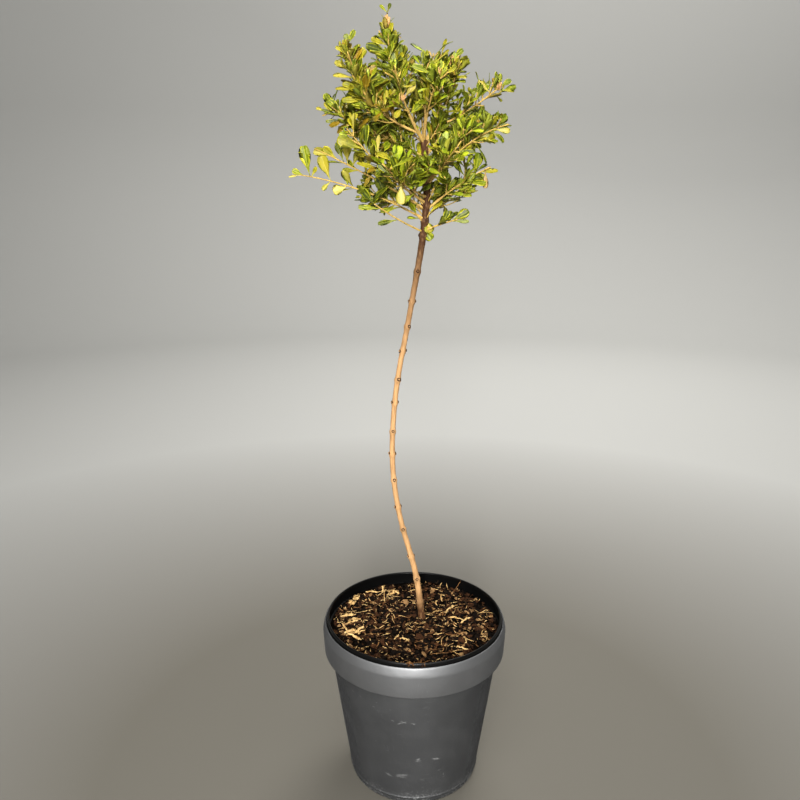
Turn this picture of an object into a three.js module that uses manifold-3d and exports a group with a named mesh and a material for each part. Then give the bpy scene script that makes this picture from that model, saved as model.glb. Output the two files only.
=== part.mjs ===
// A young standard shrub: a ball of open foliage on a bare stem, in its nursery pot inside a tapered
// outer pot.
// Millimetres, +Z up. The origin is the centre of the outer pot's underside, and the front faces -Y.
import * as THREE from "three";
import { mergeVertices } from "three/addons/utils/BufferGeometryUtils.js";
import Module from "manifold-3d";

const wasm = await Module();
wasm.setup();

const clearance = 0.3; // left between one solid and the next
const cutTolerance = 0.12; // how far a cut edge may be straightened

// The outer pot: a tapered body under a wide, nearly straight collar with a rounded top.
const outerPot = {
  sides: 36,
  wall: 2,
  footRadius: 60.4,
  footRound: 3,
  beadHeight: 7, // a raised ring just above the foot
  beadHalfWidth: 1.8,
  beadProud: 0.7,
  shoulderRadius: 78.2, // where the body meets the collar's underside
  collarBottom: 127.5,
  collarLowRadius: 84,
  collarChamfer: 1,
  collarRadius: 85,
  collarRoundFrom: 148.5,
  lipRadius: 82.3,
  lipFlat: 0.9,
  lipChamfer: 0.6,
  height: 157.3,
};

// The nursery pot: thin black plastic, standing on the outer pot's floor, its rim above the outer lip.
const nurseryPot = {
  sides: 28,
  wall: 1.2,
  floor: 1.4,
  footRadius: 56.5,
  footRound: 2.5,
  flare: 0.1424, // millimetres of radius for each millimetre of height
  rimFrom: 146,
  rimStep: 0.8,
  rimInnerStep: 2,
  rimRadius: 81.3,
  rimRound: 0.4,
  top: 159.8,
};

// The potting mix under its bark mulch: slightly mounded and uneven, and level where the stem stands.
const pottingMix = {
  sides: 28,
  level: 148,
  edgeDrop: 1.6,
  unevenness: 1.5,
  waves: [11, 13],
  waveDrop: 0.5,
  levelRound: 16,
  fadeOver: 18,
  rings: [0.97, 0.78, 0.58, 0.38, 0.2],
};

// The stem: height, sideways and backward place of its centre, from the soil to the fork.
const stem = {
  sides: 10,
  stations: 22,
  places: [
    [148.3, 7.4, 9],
    [193, 1.6, 9.5],
    [257, -14.3, 10],
    [307, -20.2, 10.5],
    [370, -17, 11],
    [440, -5, 11],
    [505, 5.7, 10],
    [542, 8.7, 9],
    [580.5, 5.9, 9],
  ],
  footRadius: 3,
  midRadius: 2.35,
  thinsOver: 100,
  crownRadius: 3,
  crownFrom: 440,
  crownTo: 530,
  flareProud: 2.2,
  flareHeight: 7,
  topRise: 1.2,
  searchSteps: 400,
};

const boughMesh = { sides: 6, stations: 5, insideMass: 3, tipRadius: 0.8 };
const massMesh = {
  sides: 9,
  stations: 5,
  nose: 0.07,
  least: 0.3, // the share of its girth that a mass keeps at its ends
  fullest: 0.5,
  taper: 0.5,
  upward: 0.28,
  unevenness: 0.24,
  lobes: [
    { share: 0.6, count: 3, turnEach: 2.4, twist: 6 },
    { share: 0.4, count: 2, turnEach: -1, twist: 11 },
  ],
};
const frameCount = 100; // directions worked out along each limb

// Each limb leaves the stem at a height, or an earlier limb at a share of its length, and runs to its
// tip. bow is how far its middle stands off the straight line. It is bare for the first share of its
// length, as a bough, and in leaf for the rest, as a mass of foliage with its own girth.
const limbs = [
  {
    name: "top", rise: 579, tip: [-23, 4, 675], bow: [-9, 0, 2],
    bare: 0.42, root: 1.5, girth: 18, fullest: 0.28, taper: 1.4,
  },
  { name: "right_top", rise: 577, tip: [28, 8, 647], bow: [3, 1, -2], bare: 0.3, root: 2.2, girth: 20 },
  {
    name: "front_top_left", rise: 578, tip: [-18, -32, 632], bow: [-2, 0, -3],
    bare: 0.42, root: 1.6, girth: 15,
  },
  {
    name: "front_top_right", rise: 579, tip: [18, -33, 630], bow: [-3, -2, 0],
    bare: 0.42, root: 1.4, girth: 15,
  },
  {
    name: "top_right", from: "front_top_right", share: 0.2, tip: [13, 0, 645], bow: [-2, 0, 0],
    bare: 0.3, root: 1.1, girth: 14,
  },
  {
    name: "left_top", from: "front_top_left", share: 0.16, tip: [-53, -23, 650], bow: [-12, -3, -8],
    bare: 0.34, root: 1.1, girth: 17,
  },
  {
    name: "right_high", from: "right_top", share: 0.18, tip: [74, 20, 628], bow: [0, 0, -4],
    bare: 0.26, root: 1.2, girth: 17, taper: 0.9,
  },
  {
    name: "left_back", rise: 566, tip: [-82, 22, 606], bow: [0, 2, 3],
    bare: 0.24, root: 1.3, girth: 25, taper: 0.9,
  },
  { name: "left_mid", rise: 526, tip: [-83, -14, 574], bow: [0, 0, 2], bare: 0.34, root: 1.2, girth: 14 },
  {
    name: "left_low", rise: 518, tip: [-100, -19, 554], bow: [0, -5, 6],
    bare: 0.2, root: 1.3, girth: 14, fullest: 0.78,
  },
  {
    name: "front_left", rise: 531, tip: [-55, -36, 588], bow: [0, -2, -5],
    bare: 0.3, root: 1.3, girth: 17,
  },
  {
    name: "right_front", rise: 545, tip: [72, -26, 590], bow: [0, -2, 9],
    bare: 0.36, root: 1.3, girth: 17,
  },
  { name: "right_side", rise: 571, tip: [70, 30, 598], bow: [0, 0, 3], bare: 0.28, root: 1.4, girth: 20 },
  { name: "right_low", rise: 525, tip: [60, -9, 560], bow: [0, 0, 3], bare: 0.3, root: 1.2, girth: 14 },
  { name: "right_lowest", rise: 509, tip: [43, -8, 521], bow: [0, 0, 1], bare: 0.2, root: 1, girth: 11 },
  {
    name: "front_low_left", rise: 536, tip: [-26, -50, 560], bow: [0, 0, -3],
    bare: 0.34, root: 1.1, girth: 15,
  },
  {
    name: "front_low_right", rise: 549, tip: [28, -55, 572], bow: [0, 0, -2],
    bare: 0.34, root: 1.1, girth: 15,
  },
  { name: "back_top", rise: 576, tip: [2, 50, 642], bow: [0, 4, -3], bare: 0.28, root: 1.5, girth: 22 },
  { name: "back_left", rise: 562, tip: [-50, 66, 602], bow: [0, 0, -2], bare: 0.26, root: 1.4, girth: 21 },
  { name: "back_right", rise: 558, tip: [46, 70, 592], bow: [0, 0, 2], bare: 0.26, root: 1.4, girth: 21 },
  { name: "back_low", rise: 540, tip: [-8, 77, 556], bow: [0, 0, 4], bare: 0.28, root: 1.3, girth: 19 },
  {
    name: "back_left_low", rise: 526, tip: [-52, 42, 536], bow: [0, 0, 2],
    bare: 0.28, root: 1.2, girth: 16,
  },
  {
    name: "back_right_low", rise: 520, tip: [38, 50, 536], bow: [0, 0, 2],
    bare: 0.28, root: 1.2, girth: 15,
  },
];

function finish(color, roughness, metalness = 0) {
  return new THREE.MeshStandardMaterial({ color, roughness, metalness });
}

// Points of a round corner in a lathe profile, from one angle to another about its centre.
function corner(centreRadius, centreHeight, reach, rise, fromDegrees, toDegrees, steps) {
  return Array.from({ length: steps + 1 }, (_, i) => {
    const angle = THREE.MathUtils.degToRad(fromDegrees + ((toDegrees - fromDegrees) * i) / steps);
    return new THREE.Vector2(centreRadius + reach * Math.cos(angle), centreHeight + rise * Math.sin(angle));
  });
}

function point(radius, height) {
  return new THREE.Vector2(radius, height);
}

// A profile of radius and height, turned about the upright axis.
function turned(profile, sides) {
  return new THREE.LatheGeometry(profile, sides).rotateX(Math.PI / 2);
}

function buildOuterPot() {
  const p = outerPot;
  const slope = (p.shoulderRadius - p.footRadius) / p.collarBottom;
  const bodyRadius = (height) => p.footRadius + slope * height;
  const roundCentre = p.lipRadius + p.lipFlat;
  const roundRise = p.height - p.collarRoundFrom;
  const outside = [
    point(0, 0),
    ...corner(bodyRadius(p.footRound) - p.footRound, p.footRound, p.footRound, p.footRound, -90, 0, 3),
    point(bodyRadius(p.beadHeight - p.beadHalfWidth), p.beadHeight - p.beadHalfWidth),
    point(bodyRadius(p.beadHeight) + p.beadProud, p.beadHeight),
    point(bodyRadius(p.beadHeight + p.beadHalfWidth), p.beadHeight + p.beadHalfWidth),
    point(p.shoulderRadius, p.collarBottom),
    point(p.collarLowRadius - p.collarChamfer, p.collarBottom),
    point(p.collarLowRadius, p.collarBottom + p.collarChamfer),
    ...corner(roundCentre, p.collarRoundFrom, p.collarRadius - roundCentre, roundRise, 0, 90, 4),
  ];
  const inside = [
    point(p.lipRadius, p.height - p.lipChamfer),
    point(p.lipRadius, p.collarBottom + p.wall),
    point(p.shoulderRadius - p.wall, p.collarBottom + p.wall),
    point(bodyRadius(p.wall) - p.wall, p.wall),
    point(0, p.wall),
  ];
  return turned([...outside, ...inside], p.sides);
}

function nurseryRadius(height) {
  const p = nurseryPot;
  return p.footRadius + p.flare * (height - outerPot.wall);
}

function buildNurseryPot() {
  const p = nurseryPot;
  const bottom = outerPot.wall + clearance;
  const rimInside = p.rimRadius - p.wall;
  const profile = [
    point(0, bottom),
    ...corner(nurseryRadius(bottom) - p.footRound, bottom + p.footRound, p.footRound, p.footRound, -90, 0, 2),
    point(nurseryRadius(p.rimFrom), p.rimFrom),
    point(p.rimRadius, p.rimFrom + p.rimStep),
    point(p.rimRadius, p.top - p.rimRound),
    point(p.rimRadius - p.rimRound, p.top),
    point(rimInside + p.rimRound, p.top),
    point(rimInside, p.top - p.rimRound),
    point(rimInside, p.rimFrom + p.rimInnerStep),
    point(nurseryRadius(p.rimFrom) - p.wall, p.rimFrom),
    point(nurseryRadius(bottom + p.floor) - p.wall, bottom + p.floor),
    point(0, bottom + p.floor),
  ];
  return turned(profile, p.sides);
}

// Skins a stack of rings of equal count, with a fan to a point at each end. The rings turn
// anticlockwise about the way from the first to the last.
function skin(rings, firstPoint, lastPoint) {
  const count = rings[0].length;
  const vertices = [firstPoint, ...rings.flat(), lastPoint];
  const last = vertices.length - 1;
  const index = [];
  for (let k = 0; k < count; k += 1) {
    const next = (k + 1) % count;
    index.push(0, 1 + next, 1 + k);
    for (let i = 0; i < rings.length - 1; i += 1) {
      const low = 1 + i * count;
      const high = low + count;
      index.push(low + k, low + next, high + next);
      index.push(low + k, high + next, high + k);
    }
    index.push(last, last - count + k, last - count + next);
  }
  const geometry = new THREE.BufferGeometry().setFromPoints(vertices);
  geometry.setIndex(index);
  return geometry;
}

function around(sides, place) {
  return Array.from({ length: sides }, (_, k) => place((2 * Math.PI * k) / sides));
}

function buildPottingMix() {
  const p = pottingMix;
  const bottom = outerPot.wall + clearance + nurseryPot.floor + clearance;
  const inset = nurseryPot.wall + clearance;
  const stemFoot = new THREE.Vector2(stem.places[0][1], stem.places[0][2]);
  const edgeHeight = p.level - p.edgeDrop;
  const surface = (x, y) => {
    const away = stemFoot.distanceTo(new THREE.Vector2(x, y)) - p.levelRound;
    const fade = THREE.MathUtils.smoothstep(away, 0, p.fadeOver);
    const wave = Math.sin(x / p.waves[0]) * Math.cos(y / p.waves[1]);
    return p.level + fade * p.unevenness * (wave - p.waveDrop);
  };
  const ringAt = (radius, heightAt) =>
    around(p.sides, (turn) => {
      const x = radius * Math.cos(turn);
      const y = radius * Math.sin(turn);
      return new THREE.Vector3(x, y, heightAt(x, y));
    });
  const rimLine = nurseryPot.rimFrom - clearance;
  const edgeRadius = nurseryRadius(rimLine) - inset;
  const rings = [
    ringAt(nurseryRadius(bottom) - inset, () => bottom),
    ringAt(edgeRadius, () => Math.min(rimLine, edgeHeight)),
    ...p.rings.map((share) => ringAt(edgeRadius * share, surface)),
  ];
  return skin(rings, new THREE.Vector3(0, 0, bottom), new THREE.Vector3(0, 0, surface(0, 0)));
}

const stemLine = new THREE.CatmullRomCurve3(
  stem.places.map(([height, side, back]) => new THREE.Vector3(side, back, height)),
);

// The stem's centre at a height.
function stemAt(height) {
  const places = stemLine.getPoints(stem.searchSteps);
  return places.find((place) => place.z >= height) ?? places.at(-1);
}

function stemRadius(height) {
  const p = stem;
  const foot = p.places[0][0];
  const thinning = THREE.MathUtils.smoothstep(height, foot, foot + p.thinsOver);
  const bare = THREE.MathUtils.lerp(p.footRadius, p.midRadius, thinning);
  const crown = THREE.MathUtils.smoothstep(height, p.crownFrom, p.crownTo);
  const flare = p.flareProud * Math.exp(-(height - foot) / p.flareHeight);
  return THREE.MathUtils.lerp(bare, p.crownRadius, crown) + flare;
}

// Level rings up the stem, so that its foot is a flat cut.
function buildStem(swell = 0) {
  const p = stem;
  const centres = Array.from({ length: p.stations + 1 }, (_, i) => stemLine.getPoint(i / p.stations));
  const rings = centres.map((centre) =>
    around(p.sides, (turn) => {
      const radius = stemRadius(centre.z) + swell;
      return new THREE.Vector3(
        centre.x + radius * Math.cos(turn),
        centre.y + radius * Math.sin(turn),
        centre.z,
      );
    }),
  );
  const top = centres[p.stations].clone();
  top.z += p.topRise + swell;
  return skin(rings, centres[0], top);
}

// A closed solid round part of a line, from one share of its length to another. It swells past both ends.
function loft(line, fromShare, toShare, mesh, radiusAt, swell) {
  const length = line.getLength();
  const start = Math.max(0, fromShare - swell / length);
  const end = Math.min(1, toShare + swell / length);
  const frames = line.computeFrenetFrames(frameCount, false);
  const ringAt = (share) => {
    const centre = line.getPointAt(share);
    const frame = Math.round(share * frameCount);
    const along = (share - start) / (end - start);
    return around(mesh.sides, (turn) => {
      const outward = frames.normals[frame].clone().multiplyScalar(Math.cos(turn));
      outward.addScaledVector(frames.binormals[frame], Math.sin(turn));
      return centre.clone().addScaledVector(outward, radiusAt(along, turn, outward) + swell);
    });
  };
  const inset = mesh.nose ?? 0;
  const rings = Array.from({ length: mesh.stations + 1 }, (_, i) => {
    const along = inset + ((1 - 2 * inset) * i) / mesh.stations;
    return ringAt(start + (end - start) * along);
  });
  return skin(rings, line.getPointAt(start), line.getPointAt(end));
}

// Every limb's whole line, from where it leaves the wood to the furthest tip of its leaves.
const limbLines = new Map();
for (const limb of limbs) {
  const start = limb.from ? limbLines.get(limb.from).getPointAt(limb.share) : stemAt(limb.rise);
  const tip = new THREE.Vector3(...limb.tip);
  const bend = start.clone().lerp(tip, 0.5).addScaledVector(new THREE.Vector3(...limb.bow), 2);
  limbLines.set(limb.name, new THREE.QuadraticBezierCurve3(start, bend, tip));
}

function buildBough(limb, swell = 0) {
  const line = limbLines.get(limb.name);
  const end = limb.bare + boughMesh.insideMass / line.getLength();
  const radiusAt = (along) => THREE.MathUtils.lerp(limb.root, boughMesh.tipRadius, along);
  return loft(line, 0, end, boughMesh, radiusAt, swell);
}

// A mass swells to its girth and narrows to its ends, stands fuller above its line than below, and is lobed
// round it, each in its own way.
function buildMass(limb, order, swell = 0) {
  const { fullest, taper } = { ...massMesh, ...limb };
  const lobesAt = (along, turn) =>
    massMesh.lobes.reduce((sum, lobe) => {
      const angle = lobe.count * turn + lobe.turnEach * order + lobe.twist * along;
      return sum + lobe.share * Math.sin(angle);
    }, 0);
  const radiusAt = (along, turn, outward) => {
    const away = along < fullest ? (fullest - along) / fullest : (along - fullest) / (1 - fullest);
    const narrowing = (1 - away * away) ** (along < fullest ? massMesh.taper : taper);
    const full = THREE.MathUtils.lerp(massMesh.least * Math.min(1, massMesh.taper / taper), 1, narrowing);
    const uneven = massMesh.unevenness * lobesAt(along, turn);
    return limb.girth * full * (1 + uneven + massMesh.upward * outward.z);
  };
  return loft(limbLines.get(limb.name), limb.bare, 1, massMesh, radiusAt, swell);
}

function toSolid(geometry) {
  const bare = geometry.clone();
  bare.deleteAttribute("normal");
  bare.deleteAttribute("uv");
  const merged = mergeVertices(bare, 1e-4);
  const vertProperties = new Float32Array(merged.attributes.position.array);
  const triVerts = new Uint32Array(merged.index.array);
  return new wasm.Manifold(new wasm.Mesh({ numProp: 3, vertProperties, triVerts }));
}

function toGeometry(solid) {
  const mesh = solid.getMesh();
  const geometry = new THREE.BufferGeometry();
  geometry.setAttribute("position", new THREE.BufferAttribute(mesh.vertProperties, 3));
  geometry.setIndex(new THREE.BufferAttribute(mesh.triVerts, 1));
  return geometry;
}

// What is left of a solid when its swollen neighbours are taken away: the largest piece.
function cutRound(geometry, swollenNeighbours) {
  const cut = swollenNeighbours.reduce((left, neighbour) => left.subtract(neighbour), toSolid(geometry));
  const pieces = cut.simplify(cutTolerance).decompose();
  return pieces.reduce((largest, piece) => (piece.volume() > largest.volume() ? piece : largest));
}

const finishes = {
  outerPot: () => finish(0x44474b, 0.38, 0.25),
  nurseryPot: () => finish(0x101112, 0.45),
  pottingMix: () => finish(0x3a241a, 0.9),
  stem: () => finish(0x9a7350, 0.75),
  bough: () => finish(0xb07a55, 0.7),
  foliage: () => finish(0x7f8f3a, 0.6),
};

const shrub = new THREE.Group();

function addPiece(name, geometry, material) {
  const mesh = new THREE.Mesh(geometry, material);
  mesh.name = name;
  shrub.add(mesh);
}

addPiece("outer_pot", buildOuterPot(), finishes.outerPot());
addPiece("nursery_pot", buildNurseryPot(), finishes.nurseryPot());
addPiece("potting_mix", buildPottingMix(), finishes.pottingMix());
addPiece("stem", buildStem(), finishes.stem());

const swollen = [toSolid(buildStem(clearance))];
for (const limb of limbs) {
  const left = cutRound(buildBough(limb), swollen);
  addPiece(`bough_${limb.name}`, toGeometry(left), finishes.bough());
  swollen.push(toSolid(buildBough(limb, clearance)));
}
limbs.forEach((limb, order) => {
  const left = cutRound(buildMass(limb, order), swollen);
  addPiece(`foliage_${limb.name}`, toGeometry(left), finishes.foliage());
  swollen.push(toSolid(buildMass(limb, order, clearance)));
});

export default shrub;
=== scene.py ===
import math
import random

import bpy
import numpy as np
from mathutils import Matrix, Vector, noise
from mathutils.bvhtree import BVHTree


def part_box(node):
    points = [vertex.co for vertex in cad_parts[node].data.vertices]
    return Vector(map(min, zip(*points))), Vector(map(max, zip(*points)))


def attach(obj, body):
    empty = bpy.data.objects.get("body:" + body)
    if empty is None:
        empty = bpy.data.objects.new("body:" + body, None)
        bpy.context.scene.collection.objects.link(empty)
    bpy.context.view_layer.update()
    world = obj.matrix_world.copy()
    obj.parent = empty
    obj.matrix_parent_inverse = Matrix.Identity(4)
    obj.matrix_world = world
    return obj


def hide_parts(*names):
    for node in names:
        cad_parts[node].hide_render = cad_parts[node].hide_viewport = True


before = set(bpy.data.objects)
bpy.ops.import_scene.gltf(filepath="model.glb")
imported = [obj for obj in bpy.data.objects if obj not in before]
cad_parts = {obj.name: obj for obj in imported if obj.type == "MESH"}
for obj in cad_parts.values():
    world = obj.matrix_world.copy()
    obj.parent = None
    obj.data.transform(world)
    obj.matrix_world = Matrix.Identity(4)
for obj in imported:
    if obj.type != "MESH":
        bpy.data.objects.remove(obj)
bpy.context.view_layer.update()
mm = 0.001
up = Vector((0, 0, 1))
print("frame loaded:", len(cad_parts), "nodes")


# small helpers

def deselectAll():
    bpy.ops.object.select_all(action="DESELECT")


def smoothShade(piece, degrees):
    deselectAll()
    piece.select_set(True)
    bpy.context.view_layer.objects.active = piece
    bpy.ops.object.shade_smooth_by_angle(angle=math.radians(degrees))


def ramp(value, low, high):
    # 0 below low, 1 above high, and a smooth step between them
    share = min(1.0, max(0.0, (value - low) / (high - low)))
    return share * share * (3 - 2 * share)


def lerp(a, b, share):
    return a + (b - a) * share


def inMetres(place):
    return Vector(place) * mm


def randomWay(rng, x=1, y=1, z=1):
    # a random vector with the given spread along each axis
    return Vector((rng.gauss(0, x), rng.gauss(0, y), rng.gauss(0, z)))


def crossTo(direction, wanted):
    # the part of wanted that stands square to direction
    square = wanted - direction * wanted.dot(direction)
    if square.length < 1e-6:
        square = direction.orthogonal()
    return square.normalized()


# colours are written as seen on a screen, 0 to 255, and used as light

def paint(red, green, blue):
    light = []
    for value in (red, green, blue):
        share = value / 255
        light.append(share / 12.92 if share <= 0.04045 else ((share + 0.055) / 1.055) ** 2.4)
    return (*light, 1.0)


# camera, lights, floor

viewPoint = {
    "place": (-0.01341, -0.64396, 0.54010),
    "lookDown": 15.124,
    "lens": 34.65,
    "sensor": 36.0,
}


def addCamera():
    bpy.ops.object.camera_add(
        location=viewPoint["place"],
        rotation=(math.radians(90 - viewPoint["lookDown"]), 0, 0),
    )
    camera = bpy.context.object
    camera.data.lens = viewPoint["lens"]
    camera.data.sensor_width = viewPoint["sensor"]
    camera.data.clip_start = 0.01
    camera.data.clip_end = 50
    bpy.context.scene.camera = camera


studio = {
    "lamps": (
        # name, place, aim, width, height, watts, spread in degrees
        ("keyLamp", (-0.1, -2.1, 1.0), (0, 0, 0.36), 0.32, 1.1, 9.6, 50),
        ("highLamp", (-0.25, -1.75, 1.6), (0, 0, 0.36), 0.6, 0.6, 6, 90),
        ("backLamp", (0.8, 1.9, 2.0), (0, 0, 0.4), 1.4, 1.4, 42, 180),
        ("topLamp", (0.3, -0.3, 2.6), (0, 0, 0.36), 1.0, 1.0, 18, 180),
        ("wallLamp", (0.5, 1.3, 2.6), (0.3, 3.2, 0.0), 1.4, 1.4, 80, 180),
        ("nearWallLamp", (-0.5, -1.6, 2.8), (-0.3, -3.2, 0.3), 1.4, 1.4, 64, 180),
    ),
    "lampTint": (1.0, 0.985, 0.95),
    "sky": (0.97, 0.98, 1.0),
    "skyStrength": 0.12,
    "floorReach": 3.2,
    "coveRound": 0.9,
    "wallHeight": 4.2,
    # floor painted darker than the wall near the plant, as painted shade; the paints turn between two
    # distances in metres
    "floorPaintedShade": (83, 80, 73),
    "wallPaint": (146, 146, 144),
    "paintedShadeTurns": (0.3, 1.05),
}


def addLights():
    for name, place, aim, width, height, watts, spread in studio["lamps"]:
        bpy.ops.object.light_add(type="AREA", location=place)
        light = bpy.context.object
        light.name = name
        light.data.shape = "ELLIPSE"
        light.data.size = width
        light.data.size_y = height
        light.data.energy = watts
        light.data.spread = math.radians(spread)
        light.data.color = studio["lampTint"]
        light.visible_glossy = name != "backLamp"  # kept out of all reflections
        light.rotation_euler = (Vector(aim) - light.location).to_track_quat("-Z", "Y").to_euler()
    world = bpy.data.worlds.new("studioSky")
    bpy.context.scene.world = world
    world.use_nodes = True
    sky = world.node_tree.nodes["Background"]
    sky.inputs["Color"].default_value = (*studio["sky"], 1)
    sky.inputs["Strength"].default_value = studio["skyStrength"]


def ringStep(newRadius, oldRadius, rise):
    # draws the selected faces on to the next ring of a turned shape
    bpy.ops.mesh.extrude_region_move(TRANSFORM_OT_translate={"value": (0, 0, rise)})
    share = newRadius / oldRadius
    bpy.ops.transform.resize(value=(share, share, 1), center_override=(0, 0, 0))


def turnedPiece(name, profile, sides):
    # a disc on the first ring, drawn out ring by ring along a profile of radius and height in millimetres
    profile = [(radius * mm, height * mm) for radius, height in profile]
    deselectAll()
    radius, height = profile[0]
    bpy.ops.mesh.primitive_circle_add(vertices=sides, radius=radius, fill_type="NGON")
    piece = bpy.context.object
    piece.name = name
    bpy.ops.object.mode_set(mode="EDIT")
    bpy.ops.mesh.select_all(action="SELECT")
    bpy.ops.transform.translate(value=(0, 0, height))
    for (oldRadius, oldHeight), (newRadius, newHeight) in zip(profile, profile[1:]):
        ringStep(newRadius, oldRadius, newHeight - oldHeight)
    bpy.ops.mesh.select_all(action="SELECT")
    bpy.ops.mesh.normals_make_consistent(inside=False)
    bpy.ops.object.mode_set(mode="OBJECT")
    return piece


def arc(centreRadius, centreHeight, reach, rise, fromDegrees, toDegrees, steps):
    points = []
    for i in range(steps + 1):
        angle = math.radians(lerp(fromDegrees, toDegrees, i / steps))
        points.append((centreRadius + reach * math.cos(angle), centreHeight + rise * math.sin(angle)))
    return points


addCamera()
addLights()
bpy.context.scene.view_settings.view_transform = "Standard"
print("camera and lights in place")


# shader groups shared by several finishes

class NodeMaker:
    # adds nodes to one tree and joins them up by socket name
    def __init__(self, tree):
        self.tree = tree

    def add(self, kind, **settings):
        node = self.tree.nodes.new(kind if kind.startswith("NodeGroup") else "ShaderNode" + kind)
        for key, value in settings.items():
            if key in node.inputs:
                node.inputs[key].default_value = value
            else:
                setattr(node, key, value)
        return node

    def join(self, fromSocket, toSocket):
        self.tree.links.new(fromSocket, toSocket)

    def feed(self, socket, value):
        # a plain value is set on the socket, anything else is joined to it
        if isinstance(value, (int, float, tuple)):
            socket.default_value = value
        else:
            self.join(value, socket)

    def noise(self, vector, scale, detail=3.0, roughness=0.55, distortion=0.0):
        node = self.add("TexNoise", Scale=scale, Detail=detail, Roughness=roughness, Distortion=distortion)
        self.join(vector, node.inputs["Vector"])
        return node.outputs["Fac"]

    def stretch(self, vector, scale, turn=(0, 0, 0)):
        node = self.add("Mapping", Scale=scale, Rotation=turn)
        self.join(vector, node.inputs["Vector"])
        return node.outputs["Vector"]

    def length(self, vector):
        node = self.add("VectorMath", operation="LENGTH")
        self.join(vector, node.inputs[0])
        return node.outputs["Value"]

    def spread(self, value, low, high, toLow=0.0, toHigh=1.0):
        node = self.add("MapRange", clamp=True)
        self.join(value, node.inputs["Value"])
        for key, number in (("From Min", low), ("From Max", high), ("To Min", toLow), ("To Max", toHigh)):
            node.inputs[key].default_value = number
        return node.outputs["Result"]

    def maths(self, operation, first, second):
        node = self.add("Math", operation=operation)
        self.feed(node.inputs[0], first)
        self.feed(node.inputs[1], second)
        return node.outputs[0]

    def mixed(self, first, share, second):
        # share of the first value and the rest of the second
        parts = [self.maths("MULTIPLY", value, part) for value, part in ((first, share), (second, 1 - share))]
        return self.maths("ADD", *parts)

    def blend(self, share, first, second):
        node = self.add("Mix", data_type="RGBA")
        for index, value in ((0, share), (6, first), (7, second)):
            self.feed(node.inputs[index], value)
        return node.outputs[2]


def addFloor():
    reach, cove = studio["floorReach"], studio["coveRound"]
    bend = arc(reach - cove, cove, cove, cove, -90, 0, 14)
    deselectAll()
    bpy.ops.mesh.primitive_circle_add(vertices=96, radius=bend[0][0], fill_type="NGON")
    floor = bpy.context.object
    floor.name = "studioFloor"
    bpy.ops.object.mode_set(mode="EDIT")
    bpy.ops.mesh.select_all(action="SELECT")
    bpy.ops.mesh.select_mode(type="EDGE")
    bpy.ops.mesh.region_to_loop()
    steps = [*bend, (reach, studio["wallHeight"])]
    for (oldRadius, oldHeight), (newRadius, newHeight) in zip(steps, steps[1:]):
        bpy.ops.mesh.extrude_edges_move(TRANSFORM_OT_translate={"value": (0, 0, newHeight - oldHeight)})
        share = newRadius / oldRadius
        bpy.ops.transform.resize(value=(share, share, 1), center_override=(0, 0, 0))
    bpy.ops.object.mode_set(mode="OBJECT")
    smoothShade(floor, 60)
    material = bpy.data.materials.new("studioPaintWithPaintedShade")
    material.use_nodes = True
    surface = material.node_tree.nodes["Principled BSDF"]
    surface.inputs["Roughness"].default_value = 0.75
    m = NodeMaker(material.node_tree)
    where = m.add("TexCoord")
    # painted shade: the darker floor paint near the plant turns to the paler wall paint further out
    share = m.spread(m.length(where.outputs["Object"]), *studio["paintedShadeTurns"])
    tone = m.blend(share, paint(*studio["floorPaintedShade"]), paint(*studio["wallPaint"]))
    m.join(tone, surface.inputs["Base Color"])
    floor.data.materials.append(material)


addFloor()
print("floor in place")


def newGroup(name, colours, numbers, outputs):
    # a shader group fed by the piece's own place, some colours, and numbers with their usual values
    group = bpy.data.node_groups.new(name, "ShaderNodeTree")

    def addSocket(socketName, side, kind):
        return group.interface.new_socket(name=socketName, in_out=side, socket_type="NodeSocket" + kind)

    addSocket("Vector", "INPUT", "Vector")
    for socketName in colours:
        addSocket(socketName, "INPUT", "Color")
    for socketName, value in numbers.items():
        addSocket(socketName, "INPUT", "Float").default_value = value
    for socketName in outputs:
        addSocket(socketName, "OUTPUT", "Color" if socketName == "Color" else "Float")
    m = NodeMaker(group)
    given = m.add("NodeGroupInput").outputs
    return group, m, given, given["Vector"], m.add("NodeGroupOutput").inputs


# leaf: soft blotches and fine pores, all by place
def buildLeafGrain():
    group, m, given, place, out = newGroup(
        "leafGrain", ("Base", "Deep", "Pale"), {"Gloss": 0.4}, ("Color", "Roughness", "Height")
    )
    broad = m.noise(place, 110, 3.0, 0.6)
    blotch = m.noise(place, 420, 3.0, 0.65, 0.6)
    pores = m.noise(place, 1500, 2.0)
    deepened = m.blend(m.spread(broad, 0.4, 0.62, 0.0, 0.95), given["Base"], given["Deep"])
    lightened = m.blend(m.spread(blotch, 0.5, 0.72, 0.0, 0.7), deepened, given["Pale"])
    m.join(lightened, out["Color"])
    m.join(m.maths("ADD", given["Gloss"], m.spread(pores, 0.35, 0.7, -0.06, 0.12)), out["Roughness"])
    m.join(m.mixed(blotch, 0.7, pores), out["Height"])
    return group


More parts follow.
